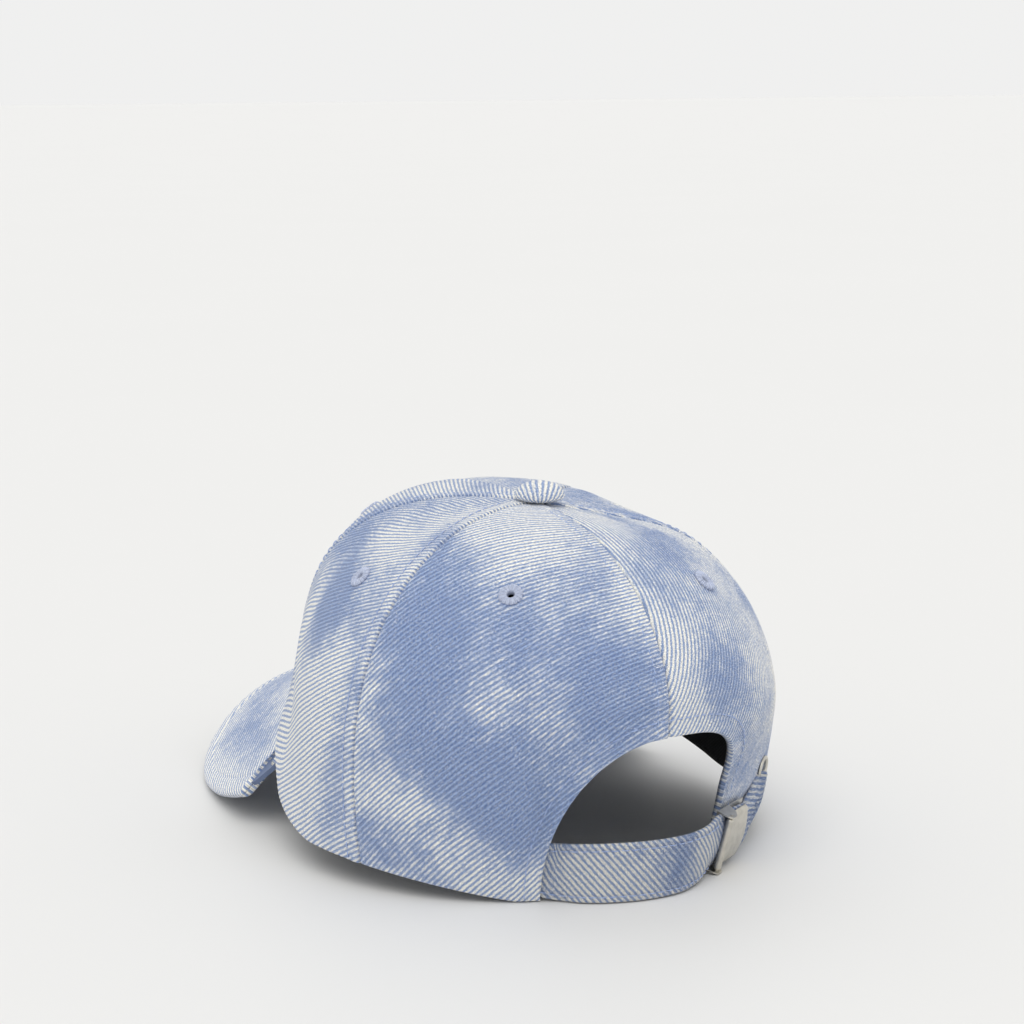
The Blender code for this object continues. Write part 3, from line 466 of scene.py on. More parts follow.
def shell(name, outer, inner, flat, flat_inner, wash, materials, opened=None):
    """A closed sheet from a fine outer grid and a coarse inner grid that takes every few of its points.

    Opened marks the points of both grids that lie in a hole through the sheet.
    """
    columns, rows = outer.shape[:2]
    few_columns, few_rows = inner.shape[:2]
    step = (columns - 1) // (few_columns - 1)
    base = columns * rows
    front_faces = grid_faces(columns, rows)
    back_faces = grid_faces(few_columns, few_rows, True, base)
    if opened is not None:
        front_faces = front_faces[~opened[front_faces].all(axis=1)]
        back_faces = back_faces[~opened[back_faces].all(axis=1)]
    faces = front_faces.tolist()
    front = len(faces)
    faces += back_faces.tolist()

    def edge(fine, coarse):
        for k in range(len(coarse) - 1):
            run = fine[k * step : k * step + step + 1]
            faces.append([*reversed(run), coarse[k], coarse[k + 1]])

    near = [i * rows for i in range(columns)]
    far = [i * rows + rows - 1 for i in range(columns)]
    near_in = [base + i * few_rows for i in range(few_columns)]
    far_in = [base + i * few_rows + few_rows - 1 for i in range(few_columns)]
    left, right = list(range(rows)), [(columns - 1) * rows + j for j in range(rows)]
    left_in = [base + j for j in range(few_rows)]
    right_in = [base + (few_columns - 1) * few_rows + j for j in range(few_rows)]
    edge(near, near_in)
    edge(right, right_in)
    edge(far[::-1], far_in[::-1])
    edge(left[::-1], left_in[::-1])
    made = mesh_object(name, np.concatenate([outer.reshape(-1, 3), inner.reshape(-1, 3)]), faces)
    set_uv(made, np.concatenate([flat.reshape(-1, 2), flat_inner.reshape(-1, 2)]))
    set_value(made, "wash", np.concatenate([wash.ravel(), np.full(inner.shape[0] * inner.shape[1], 0.5)]))
    for material in materials:
        made.data.materials.append(material)
    index = np.zeros(len(faces), np.int32)
    index[front : front + len(back_faces)] = len(materials) - 1
    made.data.polygons.foreach_set("material_index", index)
    return made


def frames_along(points, outward):
    """Directions along a line of points and across it, square to the outward directions."""
    along = np.gradient(points, axis=0)
    along /= np.linalg.norm(along, axis=-1, keepdims=True)
    outward = outward - along * np.sum(outward * along, axis=-1, keepdims=True)
    outward /= np.linalg.norm(outward, axis=-1, keepdims=True)
    return along, outward, np.cross(outward, along)


def resampled(points, outward, spacing):
    """Points at even steps along a line, with their outward directions and distances."""
    reach = distances(points)
    places = np.arange(0.0, reach[-1], spacing)
    even = np.stack([np.interp(places, reach, points[:, k]) for k in range(3)], axis=-1)
    out = np.stack([np.interp(places, reach, outward[:, k]) for k in range(3)], axis=-1)
    return even, out / np.linalg.norm(out, axis=-1, keepdims=True)


STITCH_LENGTH = 2.7 * MM
STITCH_GAP = 0.55 * MM
THREAD_RADIUS = 0.17 * MM


def stitch_row(name, points, outward, material, seed=0, length=STITCH_LENGTH, radius=THREAD_RADIUS):
    """A row of separate stitches along a line, each a short thread that dips into the cloth at its ends."""
    fine = 0.1 * MM
    line, out = resampled(np.asarray(points), np.asarray(outward), fine)
    pitch = length + STITCH_GAP
    count = int(len(line) * fine / pitch)
    rings, sides = 7, 6
    share = np.linspace(0.0, 1.0, rings)
    dip = np.array([-0.35, 0.02, 0.12, 0.16, 0.12, 0.02, -0.35]) * MM
    girth = np.array([0.55, 0.9, 1.0, 1.05, 1.0, 0.9, 0.55])
    turn = np.arange(sides) / sides * math.tau
    points_made, faces = [], []
    for k in range(count):
        wobble = hashed(np.int64(k), np.int64(3), np.int64(5), seed)
        start = k * pitch + 0.12 * STITCH_GAP * wobble
        places = np.clip(((start + share * length) / fine).astype(int), 0, len(line) - 1)
        centre, normal = line[places], out[places]
        _, normal, side = frames_along(centre, normal)
        drift = np.linspace(-0.5, 0.5, rings)[:, None] * side * 0.12 * MM * wobble
        centre = centre + normal * dip[:, None] + drift
        ring = np.cos(turn)[None, :, None] * side[:, None] + np.sin(turn)[None, :, None] * normal[:, None]
        base = len(points_made) * rings * sides
        points_made.append((centre[:, None] + ring * (girth * radius)[:, None, None]).reshape(-1, 3))
        for i in range(rings - 1):
            for j in range(sides):
                after = (j + 1) % sides
                a, b = base + i * sides + j, base + i * sides + after
                faces.append([a, b, b + sides, a + sides])
        faces.append([base + j for j in reversed(range(sides))])
        faces.append([base + (rings - 1) * sides + j for j in range(sides)])
    made = mesh_object(name, np.concatenate(points_made), faces)
    made.data.materials.append(material)
    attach(made, "cap")


def swept(name, sections):
    """A tube through sections, each a ring of points of the same count; the ends are fanned shut."""
    sections = np.asarray(sections)
    count, sides = sections.shape[:2]
    points = sections.reshape(-1, 3)
    i, j = np.meshgrid(np.arange(count - 1), np.arange(sides), indexing="ij")
    after = (j + 1) % sides
    a, b = i * sides + j, i * sides + after
    faces = np.stack([a, b, b + sides, a + sides], axis=-1).reshape(-1, 4).tolist()
    faces.append(list(range(sides))[::-1])
    faces.append([(count - 1) * sides + k for k in range(sides)])
    return mesh_object(name, points, faces)


def lathe(name, outline, steps, relief=None):
    """A ring turned about z from a closed outline of (radius, height) points.

    Relief gives a move for each point, from its turn and its place.
    """
    outline = np.asarray(outline, float)
    turn = np.arange(steps) / steps * math.tau
    radius, height = outline[:, 0], outline[:, 1]
    points = np.stack(
        [
            np.cos(turn)[:, None] * radius,
            np.sin(turn)[:, None] * radius,
            np.broadcast_to(height, (steps, len(outline))),
        ],
        axis=-1,
    )
    if relief is not None:
        points = points + relief(turn[:, None], points)
    i, j = np.meshgrid(np.arange(steps), np.arange(len(outline)), indexing="ij")
    a = i * len(outline) + j
    b = ((i + 1) % steps) * len(outline) + j
    c = ((i + 1) % steps) * len(outline) + (j + 1) % len(outline)
    d = i * len(outline) + (j + 1) % len(outline)
    faces = np.stack([a, b, c, d], axis=-1).reshape(-1, 4).tolist()
    return mesh_object(name, points.reshape(-1, 3), faces)


# ---------------------------------------------------------------- materials


class Graph:
    """Short calls for building a material's nodes."""

    def __init__(self, name):
        self.material = bpy.data.materials.new(name)
        self.material.use_nodes = True
        self.tree = self.material.node_tree
        self.shader = self.tree.nodes["Principled BSDF"]

    def put(self, socket, value):
        if isinstance(value, bpy.types.NodeSocket):
            self.tree.links.new(value, socket)
        else:
            socket.default_value = value

    def node(self, kind, **settings):
        made = self.tree.nodes.new(kind)
        for key, value in settings.items():
            setattr(made, key, value)
        return made

    def math(self, operation, *values):
        made = self.node("ShaderNodeMath", operation=operation)
        for socket, value in zip(made.inputs, values):
            self.put(socket, value)
        return made.outputs[0]

    def add(self, *values):
        total = values[0]
        for value in values[1:]:
            total = self.math("ADD", total, value)
        return total

    def times(self, a, b):
        return self.math("MULTIPLY", a, b)

    def step(self, value, low, high, to_low=0.0, to_high=1.0):
        made = self.node("ShaderNodeMapRange", interpolation_type="SMOOTHSTEP")
        for socket, number in zip(made.inputs, (value, low, high, to_low, to_high)):
            self.put(socket, number)
        return made.outputs[0]

    def mix(self, share, a, b, blend="MIX"):
        made = self.node("ShaderNodeMix", data_type="RGBA", blend_type=blend)
        self.put(made.inputs[0], share)
        self.put(made.inputs[6], a if isinstance(a, bpy.types.NodeSocket) else (*a, 1.0))
        self.put(made.inputs[7], b if isinstance(b, bpy.types.NodeSocket) else (*b, 1.0))
        return made.outputs[2]

    def vector(self, x, y, z=0.0):
        made = self.node("ShaderNodeCombineXYZ")
        for socket, value in zip(made.inputs, (x, y, z)):
            self.put(socket, value)
        return made.outputs[0]

    def noise(self, where, scale, detail=2.0, roughness=0.5):
        made = self.node("ShaderNodeTexNoise")
        self.put(made.inputs["Vector"], where)
        made.inputs["Scale"].default_value = scale
        made.inputs["Detail"].default_value = detail
        made.inputs["Roughness"].default_value = roughness
        return made.outputs["Fac"]

    def attribute(self, name):
        return self.node("ShaderNodeAttribute", attribute_name=name).outputs["Fac"]

    def flat(self):
        """Millimetres across and up the flat cloth."""
        split = self.node("ShaderNodeSeparateXYZ")
        self.tree.links.new(self.node("ShaderNodeUVMap", uv_map="cloth").outputs[0], split.inputs[0])
        size = 1000.0 / UV_PER_METRE
        return self.times(split.outputs[0], size), self.times(split.outputs[1], size)

    def place(self):
        """Millimetres in the object's own space."""
        made = self.node("ShaderNodeVectorMath", operation="SCALE")
        self.tree.links.new(self.node("ShaderNodeTexCoord").outputs["Object"], made.inputs[0])
        made.inputs["Scale"].default_value = 1000.0
        return made.outputs[0]

    def bump(self, height, distance):
        made = self.node("ShaderNodeBump")
        self.put(made.inputs["Height"], height)
        made.inputs["Distance"].default_value = distance
        made.inputs["Strength"].default_value = 1.0
        self.tree.links.new(made.outputs[0], self.shader.inputs["Normal"])

    def finish(self, colour, roughness, metallic=0.0, sheen=0.0, specular=0.5):
        self.put(self.shader.inputs["Base Color"], colour)
        self.put(self.shader.inputs["Roughness"], roughness)
        self.put(self.shader.inputs["Metallic"], metallic)
        self.shader.inputs["Sheen Weight"].default_value = sheen
        self.shader.inputs["Sheen Roughness"].default_value = 0.5
        self.shader.inputs["Specular IOR Level"].default_value = specular
        return self.material


CREAM = (0.86, 0.84, 0.77)
RIDGE_BLUE = (0.300, 0.390, 0.600)
FURROW_BLUE = (0.125, 0.190, 0.370)
FURROW_PALE = (0.230, 0.318, 0.530)


def twill(name, pitch=PITCH, wash_shift=0.0, tone=1.0):
    """Washed twill: cream ridges on blue furrows, which the dye turns blue in cloudy patches.

    The flat coordinates run along the ridges and across them.
    """
    g = Graph(name)
    along, across = g.flat()
    wander = g.noise(g.vector(g.times(along, 0.35), g.times(across, 0.7)), 1.0, 2.0)
    turns = g.add(g.math("DIVIDE", across, pitch / MM), g.times(g.math("SUBTRACT", wander, 0.5), 0.28))
    number = g.math("ROUND", turns)
    wave = g.math("COSINE", g.times(turns, math.tau))
    grain = g.noise(g.vector(g.times(along, 1.7), g.times(across, 2.6)), 1.0, 2.0, 0.65)
    slub = g.noise(g.vector(g.times(along, 0.9), g.times(across, 1.3), 5.0), 1.0, 2.0, 0.6)
    dash = g.noise(g.vector(g.times(along, 0.30), g.times(number, 7.31)), 1.0, 2.0, 0.6)
    cloud = g.noise(g.vector(along, across), 0.055, 4.0, 0.6)
    patch = g.noise(g.vector(along, across, 9.0), 0.20, 4.0, 0.65)

    wash = g.add(g.attribute("wash"), wash_shift)
    wash = g.add(wash, g.times(g.math("SUBTRACT", cloud, 0.5), 0.85))
    wash = g.add(wash, g.times(g.math("SUBTRACT", patch, 0.5), 0.65))
    soft = g.step(wash, 0.10, 0.90)
    broken = g.add(wash, g.times(g.math("SUBTRACT", dash, 0.5), 0.75))
    broken = g.add(broken, g.times(g.math("SUBTRACT", slub, 0.5), 0.55))
    broken = g.add(broken, g.times(g.math("SUBTRACT", grain, 0.5), 0.45))
    cream = g.step(broken, 0.16, 0.84)

    speck = g.noise(g.vector(g.times(along, 2.6), g.times(across, 3.4), 2.0), 1.0, 1.0, 0.5)
    level = g.add(wave, g.times(g.math("SUBTRACT", slub, 0.5), 1.8))
    level = g.add(level, g.times(g.math("SUBTRACT", grain, 0.5), 1.6))
    level = g.add(level, g.times(g.math("SUBTRACT", soft, 0.5), 0.5))
    ridge = g.step(level, -0.30, 0.60)
    on_ridge = g.mix(cream, RIDGE_BLUE, CREAM)
    in_furrow = g.mix(soft, FURROW_BLUE, FURROW_PALE)
    fleck = g.step(speck, 0.53, 0.68)
    in_furrow = g.mix(g.times(fleck, 0.55), in_furrow, CREAM)
    pit = g.math("SUBTRACT", 1.0, g.step(speck, 0.33, 0.47))
    on_ridge = g.mix(g.times(pit, 0.45), on_ridge, FURROW_BLUE)
    colour = g.mix(ridge, in_furrow, on_ridge)
    # Random grain tone, times the piece's tone: a tone under 1 is painted shade over the whole piece, a tone
    # over 1 is painted light.
    shade = g.step(grain, 0.34, 0.66, 0.76 * tone, 1.17 * tone)
    colour = g.mix(1.0, colour, g.vector(shade, shade, shade), "MULTIPLY")

    height = g.add(g.times(ridge, 0.5), g.times(grain, 0.8))
    g.bump(height, 0.10 * MM)
    return g.finish(colour, g.step(ridge, 0.0, 1.0, 0.95, 0.82), sheen=0.15, specular=0.25)


def reverse_cloth():
    """The twill's inner face: paler, with the ridges only just showing."""
    g = Graph("twill_reverse")
    right, up = g.flat()
    wave = g.math("COSINE", g.times(up, math.tau * MM / PITCH))
    grain = g.noise(g.vector(g.times(right, 1.8), g.times(up, 1.8)), 1.0, 2.0, 0.6)
    level = g.add(g.times(wave, 0.3), g.times(grain, 1.2))
    colour = g.mix(g.step(level, 0.3, 0.9), (0.17, 0.24, 0.42), (0.46, 0.50, 0.58))
    g.bump(level, 0.12 * MM)
    return g.finish(colour, 0.92, sheen=0.1, specular=0.2)


def black_twill(name, pitch=0.9, tone=0.012):
    g = Graph(name)
    right, up = g.flat()
    across = g.math("SUBTRACT", g.times(up, 0.7071), g.times(right, 0.7071))
    wave = g.math("COSINE", g.times(across, math.tau / pitch))
    grain = g.noise(g.vector(right, up), 1.6, 3.0, 0.6)
    dust = g.noise(g.vector(right, up, 4.0), 0.09, 3.0, 0.6)
    level = g.add(g.times(wave, 0.35), grain)
    low, high = (tone * 0.5, tone * 0.52, tone * 0.6), (tone * 2.4, tone * 2.4, tone * 2.6)
    colour = g.mix(g.step(level, 0.2, 1.1), low, high)
    colour = g.mix(g.times(g.step(dust, 0.5, 0.8), 0.25), colour, (tone * 4, tone * 4, tone * 4.2))
    g.bump(level, 0.12 * MM)
    return g.finish(colour, g.step(grain, 0.3, 0.7, 0.82, 0.97), sheen=0.12, specular=0.2)


def white_cloth(name):
    """Open-weave stiffener and plain woven label."""
    g = Graph(name)
    right, up = g.flat()
    warp = g.math("COSINE", g.times(right, math.tau / 1.1))
    weft = g.math("COSINE", g.times(up, math.tau / 1.1))
    level = g.math("MAXIMUM", warp, weft)
    grain = g.noise(g.vector(right, up), 1.1, 2.0)
    colour = g.mix(g.step(level, 0.1, 0.9), (0.42, 0.42, 0.40), (0.78, 0.78, 0.75))
    colour = g.mix(g.times(grain, 0.3), colour, (0.55, 0.54, 0.50))
    g.bump(g.add(level, grain), 0.12 * MM)
    return g.finish(colour, g.step(grain, 0.3, 0.7, 0.85, 0.95), sheen=0.1, specular=0.3)


def thread(name, low, high):
    g = Graph(name)
    where = g.place()
    grain = g.noise(where, 2.4, 2.0, 0.6)
    fine = g.noise(where, 7.0, 1.0)
    colour = g.mix(g.step(grain, 0.3, 0.7), low, high)
    # Painted shade: the thread darkens where its groove attribute is set, in the dips between the eyelet's
    # satin threads.
    colour = g.mix(g.times(g.attribute("painted_groove_shade"), 0.55), colour, tuple(0.45 * part for part in low))
    g.bump(fine, 0.05 * MM)
    return g.finish(colour, g.step(fine, 0.3, 0.7, 0.5, 0.75), sheen=0.1, specular=0.4)


def nickel(name, tone=(0.60, 0.575, 0.515)):
    """Satin nickel plate, brushed one way, with rubbed spots."""
    g = Graph(name)
    where = g.place()
    split = g.node("ShaderNodeSeparateXYZ")
    g.tree.links.new(where, split.inputs[0])
    x, y, z = split.outputs
    streak = g.noise(g.vector(g.times(x, 4.0), g.times(y, 4.0), g.times(z, 0.5)), 1.0, 3.0)
    spot = g.noise(where, 0.35, 3.0, 0.6)
    colour = g.mix(g.step(spot, 0.35, 0.75), tone, tuple(t * 0.82 for t in tone))
    colour = g.mix(g.times(streak, 0.35), colour, tuple(min(1.0, t * 1.2) for t in tone))
    g.bump(streak, 0.012 * MM)
    return g.finish(colour, g.add(g.step(streak, 0.3, 0.7, 0.26, 0.36), g.times(spot, 0.10)), metallic=1.0)


def board():
    g = Graph("visor_board_plastic")
    where = g.place()
    grain = g.noise(where, 0.8, 3.0)
    # Dark navy, so that the board seen in the visor's gap reads as painted shadow.
    colour = g.mix(grain, (0.10, 0.14, 0.25), (0.15, 0.20, 0.33))
    g.bump(grain, 0.05 * MM)
    return g.finish(colour, g.step(grain, 0.3, 0.7, 0.45, 0.6))


MATERIALS = {
    "crown": twill("crown_twill"),
    # The strap's twill is darkened all over by tone 0.74: painted shade, for the strap lies low in the
    # crown's shade.
    "strap": twill("strap_twill_painted_shade", STRAP_PITCH, tone=0.74),
    "button": twill("button_twill", BUTTON_PITCH, wash_shift=0.10),
    # The visor's twill is lifted all over by tone 1.08, which is painted light; its extra bleach (wash_shift)
    # is partly its paler dye and partly painted light.
    "visor": twill("visor_twill_painted_light", wash_shift=0.22, tone=1.08),
    "reverse": reverse_cloth(),
    "tape": black_twill("tape_twill", 1.1, 0.016),
    "band": black_twill("band_twill", 0.9, 0.010),
    "stiffener": white_cloth("stiffener_cloth"),
    "label": white_cloth("label_cloth"),
    "thread": thread("topstitch_thread", (0.25, 0.34, 0.60), (0.42, 0.52, 0.76)),
    "eyelet": thread("eyelet_satin_thread", (0.40, 0.46, 0.64), (0.68, 0.73, 0.86)),
    "nickel": nickel("satin_nickel"),
    "board": board(),
}

# ---------------------------------------------------------------- dye patches

# Each patch is (across, up, half width, half height, depth of blue) in shares of its panel; a
# negative depth is a bleached patch.
PATCHES = {
    "back_left": (
        (0.15, 0.62, 0.15, 0.09, 1.0), (0.26, 0.53, 0.12, 0.07, 0.9), (0.22, 0.36, 0.15, 0.11, 1.0),
        (0.50, 0.25, 0.15, 0.06, 1.1), (0.42, 0.22, 0.09, 0.07, 1.0), (0.36, 0.10, 0.09, 0.05, -0.4),
        (0.57, 0.14, 0.09, 0.05, 0.9), (0.10, 0.05, 0.11, 0.05, 0.8), (0.82, 0.44, 0.15, 0.10, 1.4),
        (0.50, 0.65, 0.06, 0.06, 0.7), (0.68, 0.70, 0.10, 0.05, 0.45), (0.84, 0.76, 0.10, 0.06, 0.6),
        (0.95, 0.94, 0.06, 0.05, 0.5), (0.03, 0.75, 0.04, 0.04, 0.8), (0.55, 0.52, 0.06, 0.08, 0.4),
        (0.30, 0.92, 0.28, 0.12, -1.0), (0.60, 0.82, 0.14, 0.08, -0.6), (0.45, 0.42, 0.07, 0.07, -0.5),
        (0.62, 0.38, 0.05, 0.07, -0.4), (0.16, 0.46, 0.10, 0.02, -0.5), (0.19, 0.18, 0.13, 0.05, -0.5),
        (0.64, 0.03, 0.08, 0.03, -0.8), (0.97, 0.62, 0.04, 0.10, -0.5),
    ),
    # The wide bleached patch over the whole side panel, (0.50, 0.40, 0.50, 0.40, -0.40), lightens it partly
    # for its whitish dye and partly as painted light from the left and front.
    "side_left": (
        (0.07, 0.65, 0.10, 0.15, 0.9), (0.28, 0.55, 0.14, 0.06, 0.9), (0.66, 0.54, 0.18, 0.06, 1.1),
        (0.58, 0.45, 0.10, 0.07, 1.0), (0.48, 0.38, 0.10, 0.06, 0.8), (0.45, 0.82, 0.12, 0.08, 0.6),
        (0.93, 0.73, 0.08, 0.04, 0.9), (0.96, 0.36, 0.05, 0.06, 0.9), (0.90, 0.22, 0.06, 0.10, 0.8),
        (0.76, 0.07, 0.12, 0.05, 0.6), (0.15, 0.20, 0.16, 0.14, 0.8), (0.50, 0.69, 0.28, 0.03, -0.3),
        (0.72, 0.33, 0.16, 0.06, -0.9), (0.50, 0.40, 0.50, 0.40, -0.40), (0.50, 0.20, 0.14, 0.10, -0.8),
        (0.38, 0.06, 0.14, 0.08, -0.8), (0.92, 0.96, 0.14, 0.09, -0.8), (0.30, 0.38, 0.12, 0.06, -0.6),
    ),
    "front_left": (
        (0.40, 0.84, 0.30, 0.05, 0.6), (0.93, 0.62, 0.12, 0.13, 0.9), (0.25, 0.45, 0.20, 0.12, 0.9),
        (0.70, 0.20, 0.22, 0.10, 0.8), (0.05, 0.15, 0.14, 0.12, 0.7), (0.70, 0.76, 0.18, 0.05, -0.8),
        (0.55, 0.55, 0.18, 0.06, -0.8), (0.35, 0.25, 0.14, 0.08, -0.7), (0.50, 0.96, 0.40, 0.04, -0.5),
    ),
    "back_right": (
        (0.55, 0.78, 0.17, 0.04, 0.9), (0.82, 0.86, 0.10, 0.05, 0.7), (0.28, 0.70, 0.10, 0.05, 0.5),
        (0.27, 0.43, 0.09, 0.09, 1.0), (0.44, 0.62, 0.06, 0.04, 0.6), (0.46, 0.27, 0.08, 0.07, 0.8),
        (0.10, 0.65, 0.05, 0.08, 0.4), (0.78, 0.52, 0.12, 0.10, 0.8), (0.88, 0.20, 0.10, 0.12, 0.8),
        (0.66, 0.12, 0.10, 0.06, 0.5), (0.50, 0.60, 0.14, 0.05, -0.4), (0.42, 0.35, 0.08, 0.07, -0.5),
        (0.90, 0.74, 0.08, 0.08, -0.8), (0.04, 0.45, 0.06, 0.12, -0.6), (0.62, 0.38, 0.10, 0.10, -0.6),
        (0.35, 0.90, 0.25, 0.05, -0.5),
    ),
    "side_right": (
        (0.20, 0.70, 0.14, 0.10, 0.9), (0.45, 0.48, 0.16, 0.09, 1.0), (0.80, 0.66, 0.12, 0.12, 0.8),
        (0.72, 0.22, 0.16, 0.09, 0.9), (0.18, 0.18, 0.14, 0.10, 0.8), (0.50, 0.86, 0.20, 0.05, 0.6),
        (0.20, 0.46, 0.10, 0.08, -0.8), (0.52, 0.66, 0.12, 0.06, -0.8), (0.45, 0.20, 0.10, 0.10, -0.8),
        (0.85, 0.42, 0.12, 0.07, -0.8),
    ),
    "front_right": (
        (0.28, 0.60, 0.16, 0.10, 0.9), (0.72, 0.42, 0.14, 0.10, 0.9), (0.20, 0.18, 0.14, 0.08, 0.8),
        (0.62, 0.82, 0.18, 0.06, 0.7), (0.85, 0.12, 0.12, 0.08, 0.7), (0.55, 0.62, 0.12, 0.06, -0.8),
        (0.30, 0.36, 0.14, 0.06, -0.8), (0.60, 0.16, 0.14, 0.08, -0.8), (0.20, 0.84, 0.16, 0.06, -0.7),
    ),
    "strap": (
        (0.44, 0.60, 0.05, 0.60, 1.0), (0.12, 0.90, 0.08, 0.22, 0.5), (0.70, 0.50, 0.05, 0.50, 0.7),
        (0.86, 0.20, 0.08, 0.60, 0.8), (0.24, 0.40, 0.10, 0.50, -0.7), (0.56, 0.40, 0.05, 0.60, -0.6),
    ),
    "visor": (
        (0.50, 0.45, 0.11, 0.22, 0.9), (0.86, 0.30, 0.06, 0.30, 1.0), (0.74, 0.62, 0.09, 0.16, 1.0),
        (0.18, 0.48, 0.08, 0.30, 0.9), (0.30, 0.85, 0.09, 0.14, 0.7), (0.62, 0.86, 0.05, 0.10, 0.6),
        (0.95, 0.70, 0.03, 0.20, 0.6), (0.50, 1.02, 0.50, 0.08, -0.9), (0.80, 0.05, 0.10, 0.12, -0.9),
        (0.36, 0.20, 0.10, 0.12, -0.8), (0.64, 0.25, 0.06, 0.14, -0.7), (0.88, 0.85, 0.05, 0.20, -0.6),
    ),
}
WASH_BASE = 0.66
WASH_DEPTH = 0.40


def wash_of(patches, across, up):
    """How bleached the cloth is at places given as shares of its piece: 0 is blue and 1 cream."""
    depth = np.zeros(np.broadcast(across, up).shape)
    for middle, height, half_width, half_height, blue in patches:
        far = ((across - middle) / half_width) ** 2 + ((up - height) / half_height) ** 2
        depth += blue * np.exp(-0.5 * far / 1.3)
    return np.clip(WASH_BASE - WASH_DEPTH * depth, 0.0, 1.0)


# ---------------------------------------------------------------- panels

SPANS = {"front": (0.0, SIDE_SEAM), "side": (SIDE_SEAM, BACK_SEAM), "back": (BACK_SEAM, 180.0)}
PRESSED = {0.0: 1, SIDE_SEAM: -1, BACK_SEAM: -1, 180.0: -1, -180.0: -1, -SIDE_SEAM: 1, -BACK_SEAM: 1}


def shares(count, edge_steps, at_start=True, at_end=True):
    """Steps from 0 to 1 that are half as long near the chosen ends."""
    weight = np.ones(count)
    if at_start:
        weight[:edge_steps] = 0.5
    if at_end:
        weight[-edge_steps:] = 0.5
    return np.concatenate([[0.0], np.cumsum(weight)]) / weight.sum()


def left_panel_grid(start, end, arch_power):
    """Angles and rises of a left-hand panel, in columns from its front seam to its back seam."""
    share = shares(COLUMNS, EDGE_STEPS)
    low_angle, low_rise = start + (end - start) * share, np.zeros_like(share)
    if end == 180.0:
        foot = arch_foot(arch_power)
        rim_end = float(arch_point(foot, arch_power)[0])
        on_arch = share > 0.5
        low_angle = start + (rim_end - start) * np.minimum(share / 0.5, 1.0)
        turn = foot + (90.0 - foot) * (share - 0.5) / 0.5
        edge_angle, edge_height = arch_point(np.where(on_arch, turn, foot), arch_power)
        low_angle = np.where(on_arch, edge_angle, low_angle)
        low_rise = np.where(on_arch, rise_at(edge_angle, edge_height), 0.0)
    up = shares(ROWS, EDGE_STEPS, at_end=False)[None, :]
    top_angle = start + (end - start) * share
    angle = low_angle[:, None] + (top_angle - low_angle)[:, None] * up
    rise = low_rise[:, None] + (PANEL_TOP - low_rise)[:, None] * up
    return angle, rise


def sewn(distance, pressed):
    """How far the cloth stands out beside a seam: it dives into the seam, and lies over the seam's
    turned edges on the side they are pressed to, as far as the row of stitches."""
    offset = -SEAM_DEPTH * np.exp(-((distance / SEAM_WIDTH) ** 2))
    if pressed:
        over = 1.0 - smoothstep((distance - WELT_WIDTH + 0.8 * MM) / (3.0 * MM))
        offset = offset + WELT_RISE * over * smoothstep(distance / SEAM_ROLL)
        offset = offset - STITCH_DIP * np.exp(-(((distance - WELT_WIDTH) / STITCH_DIP_WIDTH) ** 2))
    else:
        offset = offset - 0.08 * MM * np.exp(-distance / (2.0 * MM))
    return offset


def folds(points):
    """Soft unevenness of worn cloth: broad dents and small ripples."""
    return 0.75 * MM * noise(points, 0.045, 11) + 0.30 * MM * noise(points, 0.017, 12)


def panel_relief(name, gore, angle, rise, points, cloth):
    """How far each place on a panel stands out from the crown's even face."""
    right = gore.across(angle, rise)
    from_start = right - gore.across(np.full_like(angle, gore.start), rise)
    from_end = gore.across(np.full_like(angle, gore.end), rise) - right
    start_pressed = PRESSED[gore.start] > 0
    end_pressed = PRESSED[gore.end] < 0
    offset = sewn(from_start, start_pressed) + sewn(from_end, end_pressed)
    near = np.minimum(from_start, from_end)
    drawn = np.stack([points[..., 2], points[..., 0] * 0.3, points[..., 1] * 0.3], -1)
    pucker = PUCKER_DEPTH * noise(drawn, PUCKER_SIZE, 21)
    offset += pucker * np.exp(-((near / (6.0 * MM)) ** 2)) * smoothstep(near / MM)
    up = distances_up(points)
    offset += folds(points) * smoothstep(near / (9.0 * MM)) * smoothstep(up / (16.0 * MM))
    roll = np.clip(1.0 - up / HEM_ROLL, 0.0, 1.0)
    offset -= HEM_ROLL * (1.0 - np.sqrt(1.0 - roll**2))
    ridge = np.cos(math.tau * cloth[..., 1] / PITCH)
    offset += RIDGE * (1.0 - 0.6 * np.exp(-((near / (1.6 * MM)) ** 2))) * ridge
    if name.startswith("back"):
        on_arch = smoothstep((rise[:, :1] - 0.002) / 0.02)
        hem = np.exp(-(((up - HEM_STITCH) / (0.7 * MM)) ** 2)) * 0.14 * MM
        full = HEM_RISE * (1.0 - smoothstep((up - HEM_STITCH + MM) / (4.0 * MM)))
        offset += (full - hem) * on_arch
    return offset, up


def open_eyelet(name, points):
    """Points near the panel's eyelet pushed out to the edge of a round hole, and which ones they are."""
    seat = crown_frame(*EYELET_PLACES[name])
    local = (points - np.array(seat.translation)) @ np.array(seat.to_3x3())
    reach = np.hypot(local[..., 0], local[..., 1])
    inside = (reach < PANEL_HOLE) & (np.abs(local[..., 2]) < PANEL_HOLE * 2.0)
    grow = np.where(inside, PANEL_HOLE / np.maximum(reach, 0.01 * MM), 1.0)
    local[..., :2] *= grow[..., None]
    return local @ np.array(seat.to_3x3()).T + np.array(seat.translation), inside


